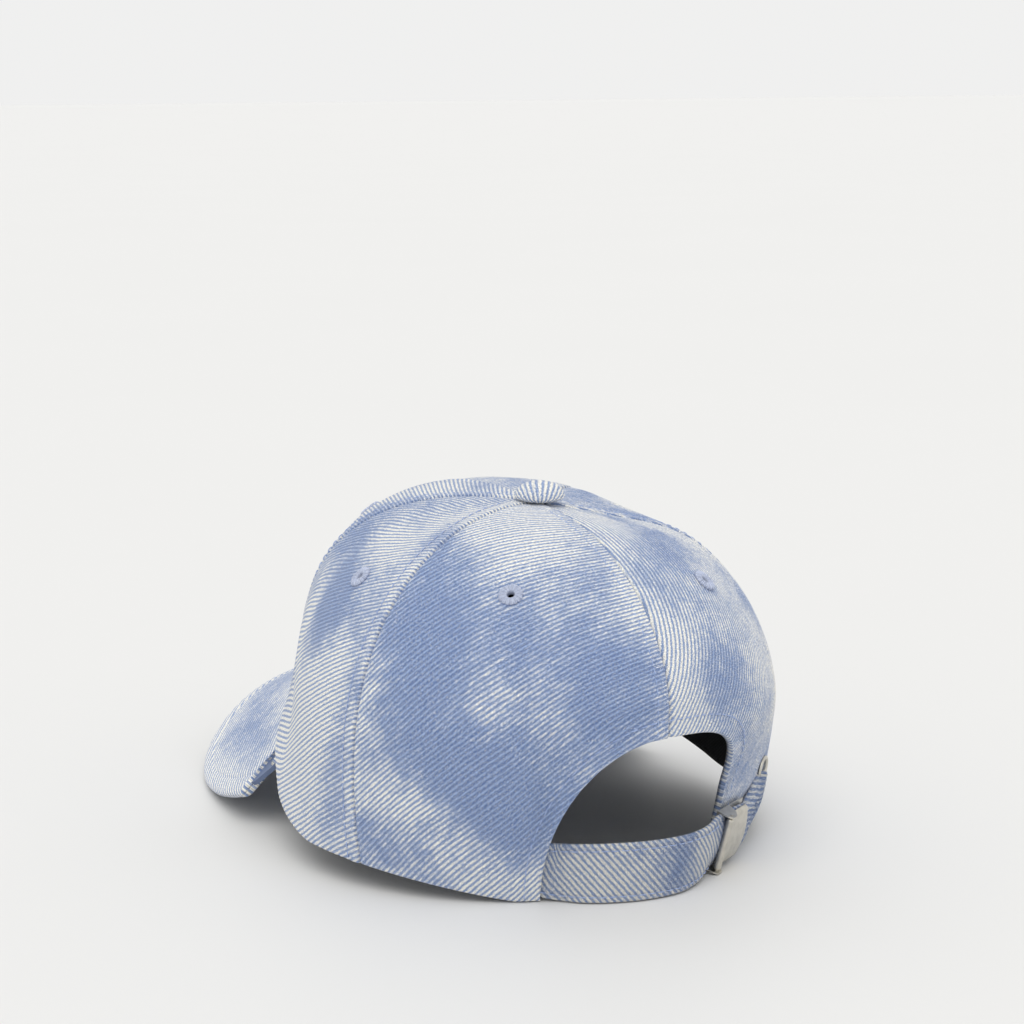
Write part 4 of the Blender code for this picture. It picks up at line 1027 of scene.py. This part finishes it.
def build_panel(name, start, end, grid):
    angle, rise = grid
    gore = Gore(start, end)
    points = crown_surface(angle, rise)
    flat = np.stack(gore.flat(angle, rise), axis=-1)
    waver = np.stack([noise(points, 0.022, 31), noise(points, 0.022, 32)], axis=-1)
    flat = flat + waver * 0.45 * MM
    if name in RIDGE_ANGLES:
        cloth = along_ridges(flat, RIDGE_ANGLES[name])
    else:
        cloth = round_ridges(flat)
    offset, up = panel_relief(name, gore, angle, rise, points, cloth)
    normal = crown_normal(angle, rise)
    outer = points + normal * offset[..., None]
    thick = CLOTH_THICK + 0.9 * MM * np.exp(-((up[FEW] / (3.5 * MM)) ** 2))
    depth = np.minimum(offset[FEW], 0.2 * MM) - thick
    hem = np.clip(1.0 - up[FEW] / HEM_ROLL, 0.0, 1.0)
    depth = depth + hem * (HEM_ROLL - 0.2 * MM)
    inner = points[FEW] + normal[FEW] * depth[..., None]
    outer[..., 2] = np.maximum(outer[..., 2], 0.0)
    inner[..., 2] = np.maximum(inner[..., 2], 0.0)
    outer, in_outer = open_eyelet(name, outer)
    inner, in_inner = open_eyelet(name, inner)
    across = (angle - gore.start) / (gore.end - gore.start)
    wash = wash_of(PATCHES[name], across, rise / 0.975)
    made = shell(
        "panel_" + name,
        outer,
        inner,
        cloth,
        cloth[FEW],
        wash,
        [MATERIALS["crown"], MATERIALS["reverse"]],
        np.concatenate([in_outer.ravel(), in_inner.ravel()]),
    )
    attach(made, "cap")
    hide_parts("crown_panel_" + name)


def build_panels():
    for place, (start, end) in SPANS.items():
        build_panel(place + "_left", start, end, left_panel_grid(start, end, ARCH_LEFT_POWER))
        angle, rise = left_panel_grid(start, end, ARCH_RIGHT_POWER)
        build_panel(place + "_right", -end, -start, (-angle[::-1], rise[::-1]))


def build_topstitching():
    names = {SIDE_SEAM: "left_front", BACK_SEAM: "left_back", 180.0: "back"}
    names.update({-BACK_SEAM: "right_back", -SIDE_SEAM: "right_front", 0.0: "front"})
    for k, (seam, name) in enumerate(names.items()):
        foot = 0.006
        if seam == 180.0:
            foot = float(rise_at(180.0, ARCH_HEIGHT)) + 0.006
        rise = np.linspace(foot, 0.93, 260)
        side = PRESSED[seam]
        place = WELT_WIDTH / metres_per_degree(seam, rise)
        angle = seam + side * np.minimum(place, 28.0)
        points = off_crown(angle, rise, 0.13 * MM + RIDGE)
        stitch_row("topstitch_" + name, points, crown_normal(angle, rise), MATERIALS["thread"], seed=k)
    foot = arch_foot(ARCH_LEFT_POWER)
    angle, height = beside_arch(np.linspace(foot + 1.0, 180.0 - foot - 1.0, 900), HEM_STITCH)
    rise = rise_at(angle, np.maximum(height, 1.2 * MM))
    points = off_crown(angle, rise, 0.16 * MM + RIDGE)
    stitch_row("topstitch_arch", points, crown_normal(angle, rise), MATERIALS["thread"], 11, radius=0.17 * MM)


# ---------------------------------------------------------------- eyelets and button


EYELET_THREADS = 34
EYELET_SWELL = 0.13 * MM
EYELET_RAG = 0.16 * MM
EYELET_RAG_FROM = 3.2 * MM


def build_eyelets():
    def relief(turn, points):
        wave = np.cos(turn * EYELET_THREADS) + 0.5 * np.cos(turn * 13.0 + 1.0)
        radius = np.hypot(points[..., 0], points[..., 1])
        away = smoothstep((radius - EYELET_HOLE) / (1.2 * MM))
        swell = EYELET_SWELL * wave * away
        rim = smoothstep((radius - EYELET_RAG_FROM) / (0.6 * MM))
        ragged = EYELET_RAG * np.cos(turn * 17.0 + 2.0) * rim
        out = np.stack([np.cos(turn), np.sin(turn), 0.0 * turn], axis=-1)
        up = np.array([0.0, 0.0, 1.0])
        return up * swell[..., None] + out * ragged[..., None]

    turns = np.radians(np.linspace(0.0, 180.0, 13))
    middle = 0.5 * (EYELET_OUTER + EYELET_HOLE)
    half = 0.5 * (EYELET_OUTER - EYELET_HOLE)
    top = [(middle + half * math.cos(t), 0.15 * MM + 0.85 * MM * math.sin(t) ** 0.7) for t in turns]
    hole = [(EYELET_HOLE - 0.05 * MM, -0.5 * MM), (EYELET_HOLE, -1.35 * MM), (2.0 * MM, -1.72 * MM)]
    foot = [(3.1 * MM, -1.55 * MM), (2.5 * MM, -1.1 * MM), (2.2 * MM, -0.4 * MM)]
    foot += [(EYELET_OUTER - 0.4 * MM, -0.5 * MM)]
    outline, steps = top + hole + foot, 8 * EYELET_THREADS
    turn = np.repeat(np.arange(steps) / steps * math.tau, len(outline))
    # Painted shade for the dips between the satin threads, on the same waves as the threads' relief.
    painted_groove_shade = smoothstep(0.5 - 0.7 * np.cos(turn * EYELET_THREADS) - 0.4 * np.cos(turn * 13.0 + 1.0))
    for name, (angle, height) in EYELET_PLACES.items():
        made = lathe("eyelet_ring_" + name, outline, steps, relief)
        set_value(made, "painted_groove_shade", painted_groove_shade)
        made.data.transform(crown_frame(angle, height))
        made.data.materials.append(MATERIALS["eyelet"])
        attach(made, "cap")
        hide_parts("eyelet_" + name)


BUTTON_TILT = math.radians(-29.0)
BUTTON_COVER_RADIUS = 8.2 * MM
BUTTON_UNDER = math.radians(28.0)
BUTTON_DROP = 1.3 * MM
BUTTON_RIDGE = 0.11 * MM
BUTTON_GATHER = 0.16 * MM
BUTTON_GATHERS = 19.0


def build_button():
    steps, rings = 220, 64
    turn = np.arange(steps)[:, None] / steps * math.tau
    share = np.linspace(0.0, 1.0, rings)[None, :]
    slope = share * math.radians(118.0)
    radius = BUTTON_COVER_RADIUS * np.sin(np.minimum(slope, math.pi / 2)) ** 0.92
    under = np.clip(slope - math.pi / 2, 0.0, None)
    radius = radius * (1.0 - 0.20 * (under / BUTTON_UNDER) ** 2)
    height = BUTTON_RISE * np.cos(np.minimum(slope, math.pi / 2)) - BUTTON_DROP * under / BUTTON_UNDER
    length = BUTTON_RADIUS * 1.02 * slope / (math.pi / 2)
    across = length * np.cos(turn - BUTTON_TILT)
    along = length * np.sin(turn - BUTTON_TILT)
    flat = np.stack([along + 0.0 * share, across + 0.0 * share], axis=-1)
    ridge = BUTTON_RIDGE * np.cos(math.tau * across / BUTTON_PITCH)
    gather = BUTTON_GATHER * np.cos(turn * BUTTON_GATHERS + 0.7) * smoothstep((slope - 1.1) / 0.6)
    grow = 1.0 + (ridge + gather) / BUTTON_RADIUS
    x, y = radius * np.cos(turn) * grow, radius * np.sin(turn) * grow
    z = height * grow + 1.2 * MM + 0.0 * turn
    points = np.stack([x, y, z], axis=-1).reshape(-1, 3)
    points += np.array([0.0, CROWN_Y + APEX_SET_BACK, APEX_HEIGHT - 0.5 * MM])
    faces = grid_faces(steps, rings, True, wrap=True).tolist()
    faces.append([i * rings + rings - 1 for i in range(steps)][::-1])
    made = mesh_object("button_twill_cover", points, faces)
    set_uv(made, flat.reshape(-1, 2))
    set_value(made, "wash", np.full(len(points), 0.72))
    made.data.materials.append(MATERIALS["button"])
    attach(made, "cap")
    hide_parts("button_cover")


# ---------------------------------------------------------------- visor


def visor_plan(across, out, inset=0.0):
    """Places in plan, y from the crown's centre, for shares across (-1 to 1) and outwards (0 to 1)."""
    rim = off_crown(across * VISOR_HALF_ANGLE, 0.0 * across, VISOR_INNER_GAP)
    inner = np.stack([rim[..., 0], rim[..., 1] - CROWN_Y], axis=-1)
    body = 1.0 - VISOR_EAR_SHARE
    turn = np.radians(90.0 * np.clip(across / body, -1.0, 1.0))
    power = 2.0 / VISOR_POWER
    x = (VISOR_HALF_WIDTH - inset) * np.sign(turn) * np.abs(np.sin(turn)) ** power
    y = VISOR_BACK_LINE - (VISOR_REACH - inset) * np.abs(np.cos(turn)) ** power
    outer = np.stack([x, y], axis=-1)
    tip = inner + np.stack([np.sign(across), -np.ones_like(across)], axis=-1) * VISOR_EAR_TIP
    ear = np.clip((np.abs(across) - body) / VISOR_EAR_SHARE, 0.0, 1.0)[..., None]
    edge = np.where(across < 0.0, 0, -1)
    outer = outer + ear * (tip[edge] - outer)
    return inner[:, None, :] + (outer - inner)[:, None, :] * out[None, :, None]


def visor_point(plan, depth):
    """Places under the visor's upper face, by a depth along its normal."""
    x, y = plan[..., 0], plan[..., 1]
    step = 0.5 * MM
    slope_x = (visor_height(x + step, y) - visor_height(x - step, y)) / (2.0 * step)
    normal = np.stack([-slope_x, np.full_like(slope_x, -VISOR_TILT), np.ones_like(x)], axis=-1)
    normal /= np.linalg.norm(normal, axis=-1, keepdims=True)
    face = np.stack([x, y + CROWN_Y, visor_height(x, y)], axis=-1)
    return face - normal * depth[..., None]


def round_the_arch(x):
    """How far a place x across the visor is from its middle line, measured round its arch."""
    even = np.linspace(-1.05 * VISOR_HALF_WIDTH, 1.05 * VISOR_HALF_WIDTH, 801)
    rise = visor_height(even, VISOR_BACK_LINE)
    reach = np.concatenate([[0.0], np.cumsum(np.hypot(np.diff(even), np.diff(rise)))])
    return np.interp(x, even, reach - reach[400])


VISOR_RIDGE_ANGLE = 45.0
VISOR_ROW_INSET = 5.5 * MM
VISOR_ROW_DIP = 0.35 * MM
VISOR_CLOTH = 1.1 * MM


def build_visor():
    columns, rows = 330, 120
    across = np.linspace(-1.0, 1.0, columns + 1)[::-1]
    out = shares(rows, 20, at_start=False)
    for name, top in (("top", True), ("bottom", False)):
        plan = visor_plan(across, out)
        mirrored = np.stack([-round_the_arch(plan[..., 0]), -plan[..., 1]], axis=-1)
        flat = along_ridges(mirrored, VISOR_RIDGE_ANGLE)
        edge = np.linalg.norm(plan - plan[:, -1:], axis=-1)
        half = 0.5 * VISOR_THICK
        roll = np.clip(1.0 - edge / half, 0.0, 1.0)
        drop = half * (1.0 - np.sqrt(1.0 - roll**2)) * 0.93
        ridge = np.cos(math.tau * flat[..., 1] / PITCH)
        soft = noise(np.stack([plan[..., 0], plan[..., 1], 0.0 * roll], -1), 0.02, 41 + top)
        lift = (0.10 * soft - 0.06 * ridge) * MM * smoothstep(edge / (2.0 * MM))
        seam = VISOR_ROW_DIP * np.exp(-(((edge - VISOR_ROW_INSET) / (0.6 * MM)) ** 2))
        depth = drop + seam - lift if top else VISOR_THICK - drop - seam + lift
        inner_depth = VISOR_CLOTH + 0.8 * drop if top else VISOR_THICK - VISOR_CLOTH - 0.8 * drop
        outer, inner = visor_point(plan, depth), visor_point(plan, inner_depth)[FEW]
        if not top:
            outer, inner, flat = outer[::-1], inner[::-1], flat[::-1]
        share = (across + 1.0) * 0.5
        wash = wash_of(PATCHES["visor"], share[:, None], out[None, :])
        if not top:
            wash = wash[::-1]
        outer[..., 2] = np.maximum(outer[..., 2], 0.0)
        cloths = [MATERIALS["visor"], MATERIALS["reverse"]]
        made = shell("visor_cloth_" + name, outer, inner, flat, flat[FEW], wash, cloths)
        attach(made, "cap")
        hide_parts(f"visor_{name}_cover")


# ---------------------------------------------------------------- strap


def station(seat, offset, width=STRAP_WIDTH, thick=STRAP_THICK):
    """One station of the strap: its middle, its outward direction, its width and its thickness."""
    outward = seat.col[2].to_3d()
    return np.array([*(seat.translation + outward * offset), *outward, width, thick])


def clasp_seat():
    return ring_frame(CLASP_ANGLE, CLASP_REACH, CLASP_HEIGHT, CLASP_LEAN)


def smooth_through(stations, count):
    """Catmull-Rom samples through the stations, evenly spread over their lengths."""
    rows = np.array(stations)
    padded = np.vstack([2 * rows[0] - rows[1], rows, 2 * rows[-1] - rows[-2]])
    reach = distances(rows[:, :3])
    samples = []
    for place in np.linspace(0.0, reach[-1], count):
        i = min(int(np.searchsorted(reach, place, side="right")) - 1, len(reach) - 2)
        t = (place - reach[i]) / (reach[i + 1] - reach[i])
        a, b, c, d = padded[i : i + 4]
        curve = 2 * b + (c - a) * t + (2 * a - 5 * b + 4 * c - d) * t**2 + (3 * b - a - 3 * c + d) * t**3
        samples.append(0.5 * curve)
    return np.array(samples)


STRAP_BOW_AT_CLASP = 1.7 * MM
STRAP_ROW_INSET = 2.2 * MM
STRAP_ROW_DIP = 0.20 * MM
STRAP_PLEAT = 0.9 * MM
STRAP_RIDGE = 0.08 * MM
STRAP_RIDGE_ANGLE = -50.0


def build_strap():
    stations = [station(crown_frame(angle, height), offset) for angle, height, offset in STRAP_SEWN]
    stations += [station(ring_frame(*place), 0.0) for place in STRAP_BOW]
    for x, width in STRAP_CLASP_PLACES:
        in_clasp = clasp_seat() @ Matrix.Translation((x, 0.0, 0.0))
        stations.append(station(in_clasp, STRAP_IN_CLASP, width))
    for angle, height, offset, width, thick in (*STRAP_TAIL, STRAP_TUCK):
        stations.append(station(crown_frame(angle, height), offset, width, thick))
    samples = smooth_through(stations, 420)
    middle = samples[:, :3]
    _, outward, upward = frames_along(middle, samples[:, 3:6])
    reach = distances(middle)
    width, thick = samples[:, 6:7], samples[:, 7:8]
    round_steps = 10
    turn = np.radians(np.linspace(-90.0, 90.0, round_steps))
    flat_run = np.linspace(-1.0, 1.0, 54)[1:-1]
    # One section as (place across the width from -1 to 1, place through the thickness from -1 to 1).
    section = [(v, 1.0) for v in flat_run]
    section += [(1.0, math.cos(t + math.pi / 2)) for t in turn]
    section += [(v, -1.0) for v in flat_run[::-2]]
    section += [(-1.0, -math.cos(t + math.pi / 2)) for t in turn]
    section = np.array(section)
    at_edge = np.sign(section[:, 0]) * (np.abs(section[:, 0]) > 0.999)
    bulge = np.sqrt(np.clip(1.0 - section[:, 1] ** 2, 0.0, 1.0)) * at_edge
    half_thick = 0.5 * thick * 1.15
    v = section[:, 0][None, :] * (0.5 * width - half_thick) + bulge[None, :] * half_thick
    w = section[:, 1][None, :] * half_thick
    gathered = smoothstep((0.0178 - width) / 0.008)
    pleat = STRAP_PLEAT * gathered * np.cos(section[:, 0][None, :] * 3.0 * math.pi)
    edge = np.abs(np.abs(v) - (0.5 * width - STRAP_ROW_INSET))
    seam = -STRAP_ROW_DIP * np.exp(-((edge / (0.55 * MM)) ** 2)) * (1.0 - gathered)
    flat_v = np.cumsum(np.abs(np.diff(np.concatenate([v[:, :1], v], axis=1), axis=1)), axis=1)
    flat_v = np.where(section[:, 1][None, :] > -0.5, v, -v)
    flat = np.stack([np.broadcast_to(reach[:, None], v.shape), flat_v], axis=-1)
    flat = along_ridges(flat, STRAP_RIDGE_ANGLE)
    ridge = STRAP_RIDGE * np.cos(math.tau * flat[..., 1] / STRAP_PITCH)
    from_clasp = np.abs(middle - np.array(clasp_seat().translation)).sum(axis=1)
    near_clasp = (reach - reach[int(np.argmin(from_clasp))]) / MM
    bow = STRAP_BOW_AT_CLASP * np.exp(-0.5 * (near_clasp / 9.0) ** 2) + 0.25 * MM
    bow = bow[:, None] * (0.30 - (2.0 * v / width) ** 2) * (1.0 - gathered)
    lift = w + bow + pleat + (seam + ridge) * np.sign(section[:, 1][None, :])
    points = middle[:, None] + upward[:, None] * v[..., None] + outward[:, None] * lift[..., None]
    points[..., 2] = np.maximum(points[..., 2], 0.2 * MM)
    made = swept("strap_webbing", points)
    set_uv(made, flat.reshape(-1, 2))
    across = reach / reach[-1]
    wash = wash_of(PATCHES["strap"], across[:, None], (v / width + 0.5))
    set_value(made, "wash", wash.ravel())
    made.data.materials.append(MATERIALS["strap"])
    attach(made, "cap")
    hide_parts("strap")
    clasp_end = np.array(clasp_seat() @ Vector((-0.009, 0.0, 0.0)))
    last = int(np.argmin(np.linalg.norm(middle - clasp_end, axis=1)))
    middle, upward, outward = middle[:last], upward[:last], outward[:last]
    for seed, side, sign in ((31, "lower", -1.0), (32, "upper", 1.0)):
        offset = 0.5 * STRAP_WIDTH - STRAP_ROW_INSET
        line = middle + upward * sign * offset + outward * (0.5 * STRAP_THICK + 0.12 * MM)
        stitch_row("strap_stitch_" + side, line, outward, MATERIALS["thread"], seed, radius=0.16 * MM)


# ---------------------------------------------------------------- clasp and grommet


def strip(name, path, half_width, thick, seat, steps, end_round, bow):
    """A sheet-metal piece: a path of (x, z) swept along y, with its two ends rounded over.

    Past its rolled start the sheet bows, so that its two ends lie lower than its middle.
    """
    path = np.asarray(path, float)
    step = np.gradient(path, axis=0)
    step /= np.linalg.norm(step, axis=1, keepdims=True)
    side = np.stack([-step[:, 1], step[:, 0]], axis=-1)
    turns = np.radians(np.linspace(0.0, 180.0, 7))
    sections = []
    for y in np.linspace(-half_width, half_width, steps):
        from_end = half_width - abs(y)
        round_over = end_round * (1.0 - math.sqrt(max(0.0, 1.0 - max(0.0, 1.0 - from_end / end_round) ** 2)))
        away = smoothstep((path[:, 0] - 1.0 * MM) / (5.0 * MM))
        sunk = bow * away * ((y / half_width) ** 2 - 0.15)
        lowered = path - np.stack([0.0 * sunk, sunk], axis=-1)
        upper = lowered + side * (0.5 * thick - round_over)
        lower = lowered - side * (0.5 * thick + 0.6 * round_over)
        tip = [
            lowered[-1]
            + side[-1] * (0.5 * thick * math.cos(t) - round_over)
            + step[-1] * 0.5 * thick * math.sin(t)
            for t in turns[1:-1]
        ]
        ring = np.concatenate([upper, tip, lower[::-1]])
        sections.append(np.stack([ring[:, 0], np.full(len(ring), y), ring[:, 1]], axis=-1))
    made = swept(name, np.array(sections)[:, ::-1])
    made.data.transform(seat)
    return made


SHEET_THICK = 0.55 * MM
CURL_RADIUS = 0.95 * MM
TIP_START = LEVER_LENGTH - 1.4 * MM
TIP_RADIUS = 1.0 * MM
PLATE_END_ROUND = 0.8 * MM
PLATE_BOW = 1.5 * MM


def build_clasp():
    at_pin = clasp_seat() @ Matrix.Translation((PIN_X, 0.0, PIN_Z))
    # The lever: a sheet rolled round the pin, then a flat plate with a turned-down tip.
    top = LEVER_TOP - PIN_Z - 0.25 * MM
    curl_turn = np.radians(np.linspace(-35.0, -300.0, 40))
    path = [(CURL_RADIUS * math.cos(t), CURL_RADIUS * math.sin(t)) for t in curl_turn]
    path += [(x, top) for x in np.linspace(1.6 * MM, TIP_START, 30)]
    for t in np.radians(np.linspace(90.0, 20.0, 8))[1:]:
        path.append((TIP_START + TIP_RADIUS * math.cos(t), top - TIP_RADIUS + TIP_RADIUS * math.sin(t)))
    made = strip(
        "clasp_plate", path, LEVER_HALF_WIDTH, SHEET_THICK, at_pin, 42, PLATE_END_ROUND, PLATE_BOW
    )
    made.data.materials.append(MATERIALS["nickel"])
    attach(made, "clasp_lever")
    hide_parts("clasp_lever")


def bevel(node, width):
    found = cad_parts[node]
    soft = found.modifiers.new("worn_edges", "BEVEL")
    soft.width = width
    soft.segments = 2
    soft.limit_method = "ANGLE"
    found.data.shade_smooth()


def set_material(node, material):
    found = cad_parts[node]
    if not found.material_slots:
        found.data.materials.append(material)
    for slot in found.material_slots:
        slot.material = material


def build_grommet():
    seat = crown_frame(GROMMET_ANGLE, GROMMET_HEIGHT)
    turns = np.radians(np.linspace(0.0, 180.0, 12))
    middle = 0.5 * (GROMMET_FLANGE + GROMMET_BORE)
    half = 0.5 * (GROMMET_FLANGE - GROMMET_BORE)
    outline = [(middle + half * math.cos(t), 0.55 * MM + 0.75 * MM * math.sin(t)) for t in turns]
    outline += [(GROMMET_BORE - 0.02 * MM, -2.6 * MM), (GROMMET_BORE + 0.45 * MM, -2.6 * MM)]
    outline.append((GROMMET_BORE + 0.5 * MM, 0.45 * MM))
    made = lathe("grommet_ring", outline, 72)
    made.data.transform(seat)
    made.data.materials.append(MATERIALS["nickel"])
    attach(made, "cap")
    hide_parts("grommet")


# ---------------------------------------------------------------- inside the cap


def layer(name, angle, rise, shallow, deep, material, slot, *nodes, wave=0.0):
    """A strip of cloth inside the crown between two depths."""
    ripple = wave * noise(crown_surface(angle, rise), 0.012, 51)
    outer = off_crown(angle, rise, -shallow + ripple)
    inner = off_crown(angle, rise, -deep + ripple)
    columns, rows = angle.shape
    base = columns * rows
    faces = grid_faces(columns, rows).tolist() + grid_faces(columns, rows, True, base).tolist()
    edge = [i * rows for i in range(columns)]
    edge += [(columns - 1) * rows + j for j in range(1, rows)]
    edge += [i * rows + rows - 1 for i in range(columns - 2, -1, -1)]
    edge += list(range(rows - 2, 0, -1))
    faces += [[b, a, base + a, base + b] for a, b in zip(edge, edge[1:] + edge[:1])]
    points = np.concatenate([outer.reshape(-1, 3), inner.reshape(-1, 3)])
    made = mesh_object(name, points, faces)
    up = distances_up(outer)
    right = np.broadcast_to(distances(outer[:, 0])[:, None], up.shape)
    flat = np.stack([right, up], axis=-1).reshape(-1, 2)
    set_uv(made, np.concatenate([flat, flat]))
    made.data.materials.append(material)
    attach(made, "cap")
    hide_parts(*nodes)


def build_inside():
    angle = np.linspace(-146.0, 146.0, 220)[:, None] * np.ones((1, 14))
    lift = 30.0 * MM * np.linspace(0.04, 1.0, 14)[None, :]
    rise = rise_at(angle, profile_of(angle)[0] + lift)
    band = MATERIALS["band"]
    layer("sweatband_twill", angle, rise, 4.1 * MM, 5.1 * MM, band, "sweatband", "sweatband", wave=0.35 * MM)
    points = off_crown(angle[:, 11], rise[:, 11], -5.15 * MM)
    tape = MATERIALS["tape"]
    stitch_row("sweatband_stitch", points, -crown_normal(angle[:, 11], rise[:, 11]), tape, 61)
    angle = np.linspace(-11.0, 11.0, 30)[:, None] * np.ones((1, 14))
    rise = rise_at(angle, profile_of(angle)[0] + np.linspace(8.0, 25.0, 14)[None, :] * MM)
    layer("woven_label", angle, rise, 5.55 * MM, 5.9 * MM, MATERIALS["label"], "label", "inner_label")
    seams = {"front": 0.0, "left_front": SIDE_SEAM, "left_back": BACK_SEAM, "back": 180.0}
    seams.update({"right_back": -BACK_SEAM, "right_front": -SIDE_SEAM})
    for k, (name, seam) in enumerate(seams.items()):
        foot = 0.02 if seam != 180.0 else float(rise_at(180.0, ARCH_HEIGHT)) + 0.01
        rise = np.linspace(foot, 0.925, 90)[None, :] * np.ones((11, 1))
        half = np.minimum(6.0 * MM / metres_per_degree(seam, rise), 24.0)
        angle = seam + np.linspace(-1.0, 1.0, 11)[:, None] * half
        bow = 2.55 * MM - 0.35 * MM * (1.0 - np.linspace(-1.0, 1.0, 11)[:, None] ** 2)
        shallow, deep = bow + 0.45 * MM, bow + 0.9 * MM
        layer("tape_" + name, angle, rise, shallow, deep, tape, "seam_tape", "seam_tape_" + name)
        for letter, side in (("a", -1.0), ("b", 1.0)):
            row = seam + side * 0.78 * half[0]
            points, inward = off_crown(row, rise[0], -3.42 * MM), -crown_normal(row, rise[0])
            stitch_row(f"tape_stitch_{name}_{letter}", points, inward, tape, 70 + k, radius=0.15 * MM)
    turn = np.linspace(33.0, 147.0, 120)[:, None] * np.ones((1, 8))
    angle, height = beside_arch(turn, np.linspace(8.5 * MM, 0.6 * MM, 8)[None, :])
    angle, rise = angle[:, ::-1], rise_at(angle, height)[:, ::-1]
    layer("arch_tape", angle, rise, 2.15 * MM, 2.6 * MM, tape, "seam_tape", "arch_binding")
    for side, sign in (("left", 1.0), ("right", -1.0)):
        angle = np.linspace(1.0, SIDE_SEAM - 1.0, 40)[:, None] * np.ones((1, 60))
        rise = np.linspace(0.004, 0.93, 60)[None, :] * np.ones((40, 1))
        if sign < 0.0:
            angle = -angle[::-1]
        stiff, node = MATERIALS["stiffener"], "front_stiffener_" + side
        layer("stiffener_" + side, angle, rise, 1.75 * MM, 2.3 * MM, stiff, "stiffener", node)


def build_tab():
    """The folded cloth tab that holds the clasp, from its CAD outline with a softer, woven surface."""
    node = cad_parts["clasp_tab"]
    seat = clasp_seat()
    made = bpy.data.objects.new("clasp_tab_cloth", node.data.copy())
    bpy.context.scene.collection.objects.link(made)
    points = np.array([v.co for v in made.data.vertices], float)
    local = (points - np.array(seat.translation)) @ np.array(seat.to_3x3())
    set_uv(made, local[:, :2])
    set_value(made, "wash", np.full(len(points), 0.4))
    made.data.materials.clear()
    # The tab takes the strap's twill, with its painted shade.
    made.data.materials.append(MATERIALS["strap"])
    soft = made.modifiers.new("soft_edges", "BEVEL")
    soft.width = 0.15 * MM
    soft.segments = 2
    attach(made, "cap")
    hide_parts("clasp_tab")


# ---------------------------------------------------------------- stage, light and camera

EYE = Vector((0.3918, 0.7274, 0.2622))
LOOK = Vector((-0.47885, -0.85777, -0.18689))
LENS = 84.375


def build_stage():
    half = 12.0
    corners = [(-half, -half, 0.0), (half, -half, 0.0), (half, half, 0.0), (-half, half, 0.0)]
    floor = mesh_object("floor", corners, [[0, 1, 2, 3]])
    g = Graph("pale_floor")
    grain = g.noise(g.place(), 0.004, 2.0)
    colour = g.mix(grain, (0.754, 0.754, 0.748), (0.764, 0.764, 0.758))
    floor.data.materials.append(g.finish(colour, 0.55, specular=0.3))
    world = bpy.data.worlds.new("soft_room")
    bpy.context.scene.world = world
    world.use_nodes = True
    sky = world.node_tree.nodes["Background"]
    sky.inputs["Color"].default_value = (1.0, 1.0, 0.995, 1.0)
    sky.inputs["Strength"].default_value = 0.87
    sun = bpy.data.lights.new("overhead", "SUN")
    sun.energy = 1.05
    sun.angle = math.radians(50.0)
    sun.color = (1.0, 0.985, 0.96)
    lamp = bpy.data.objects.new("overhead", sun)
    lamp.rotation_euler = (math.radians(-22.0), math.radians(18.0), 0.0)
    bpy.context.scene.collection.objects.link(lamp)
    bpy.context.scene.view_settings.view_transform = "Standard"


def build_camera():
    camera = bpy.data.cameras.new("camera")
    camera.lens = LENS
    camera.sensor_width = 36.0
    camera.clip_start = 0.01
    made = bpy.data.objects.new("camera", camera)
    made.location = EYE
    made.rotation_euler = LOOK.to_track_quat("-Z", "Y").to_euler()
    bpy.context.scene.collection.objects.link(made)
    bpy.context.scene.camera = made


build_camera()
build_panels()
build_topstitching()
build_eyelets()
build_button()
build_visor()
build_strap()
build_clasp()
build_grommet()
build_tab()
build_inside()
for node in ("clasp_frame", "clasp_pin", "button_shell", "button_rivet", "grommet_washer"):
    set_material(node, MATERIALS["nickel"])
set_material("visor_board", MATERIALS["board"])
bevel("clasp_frame", 0.12 * MM)
build_stage()
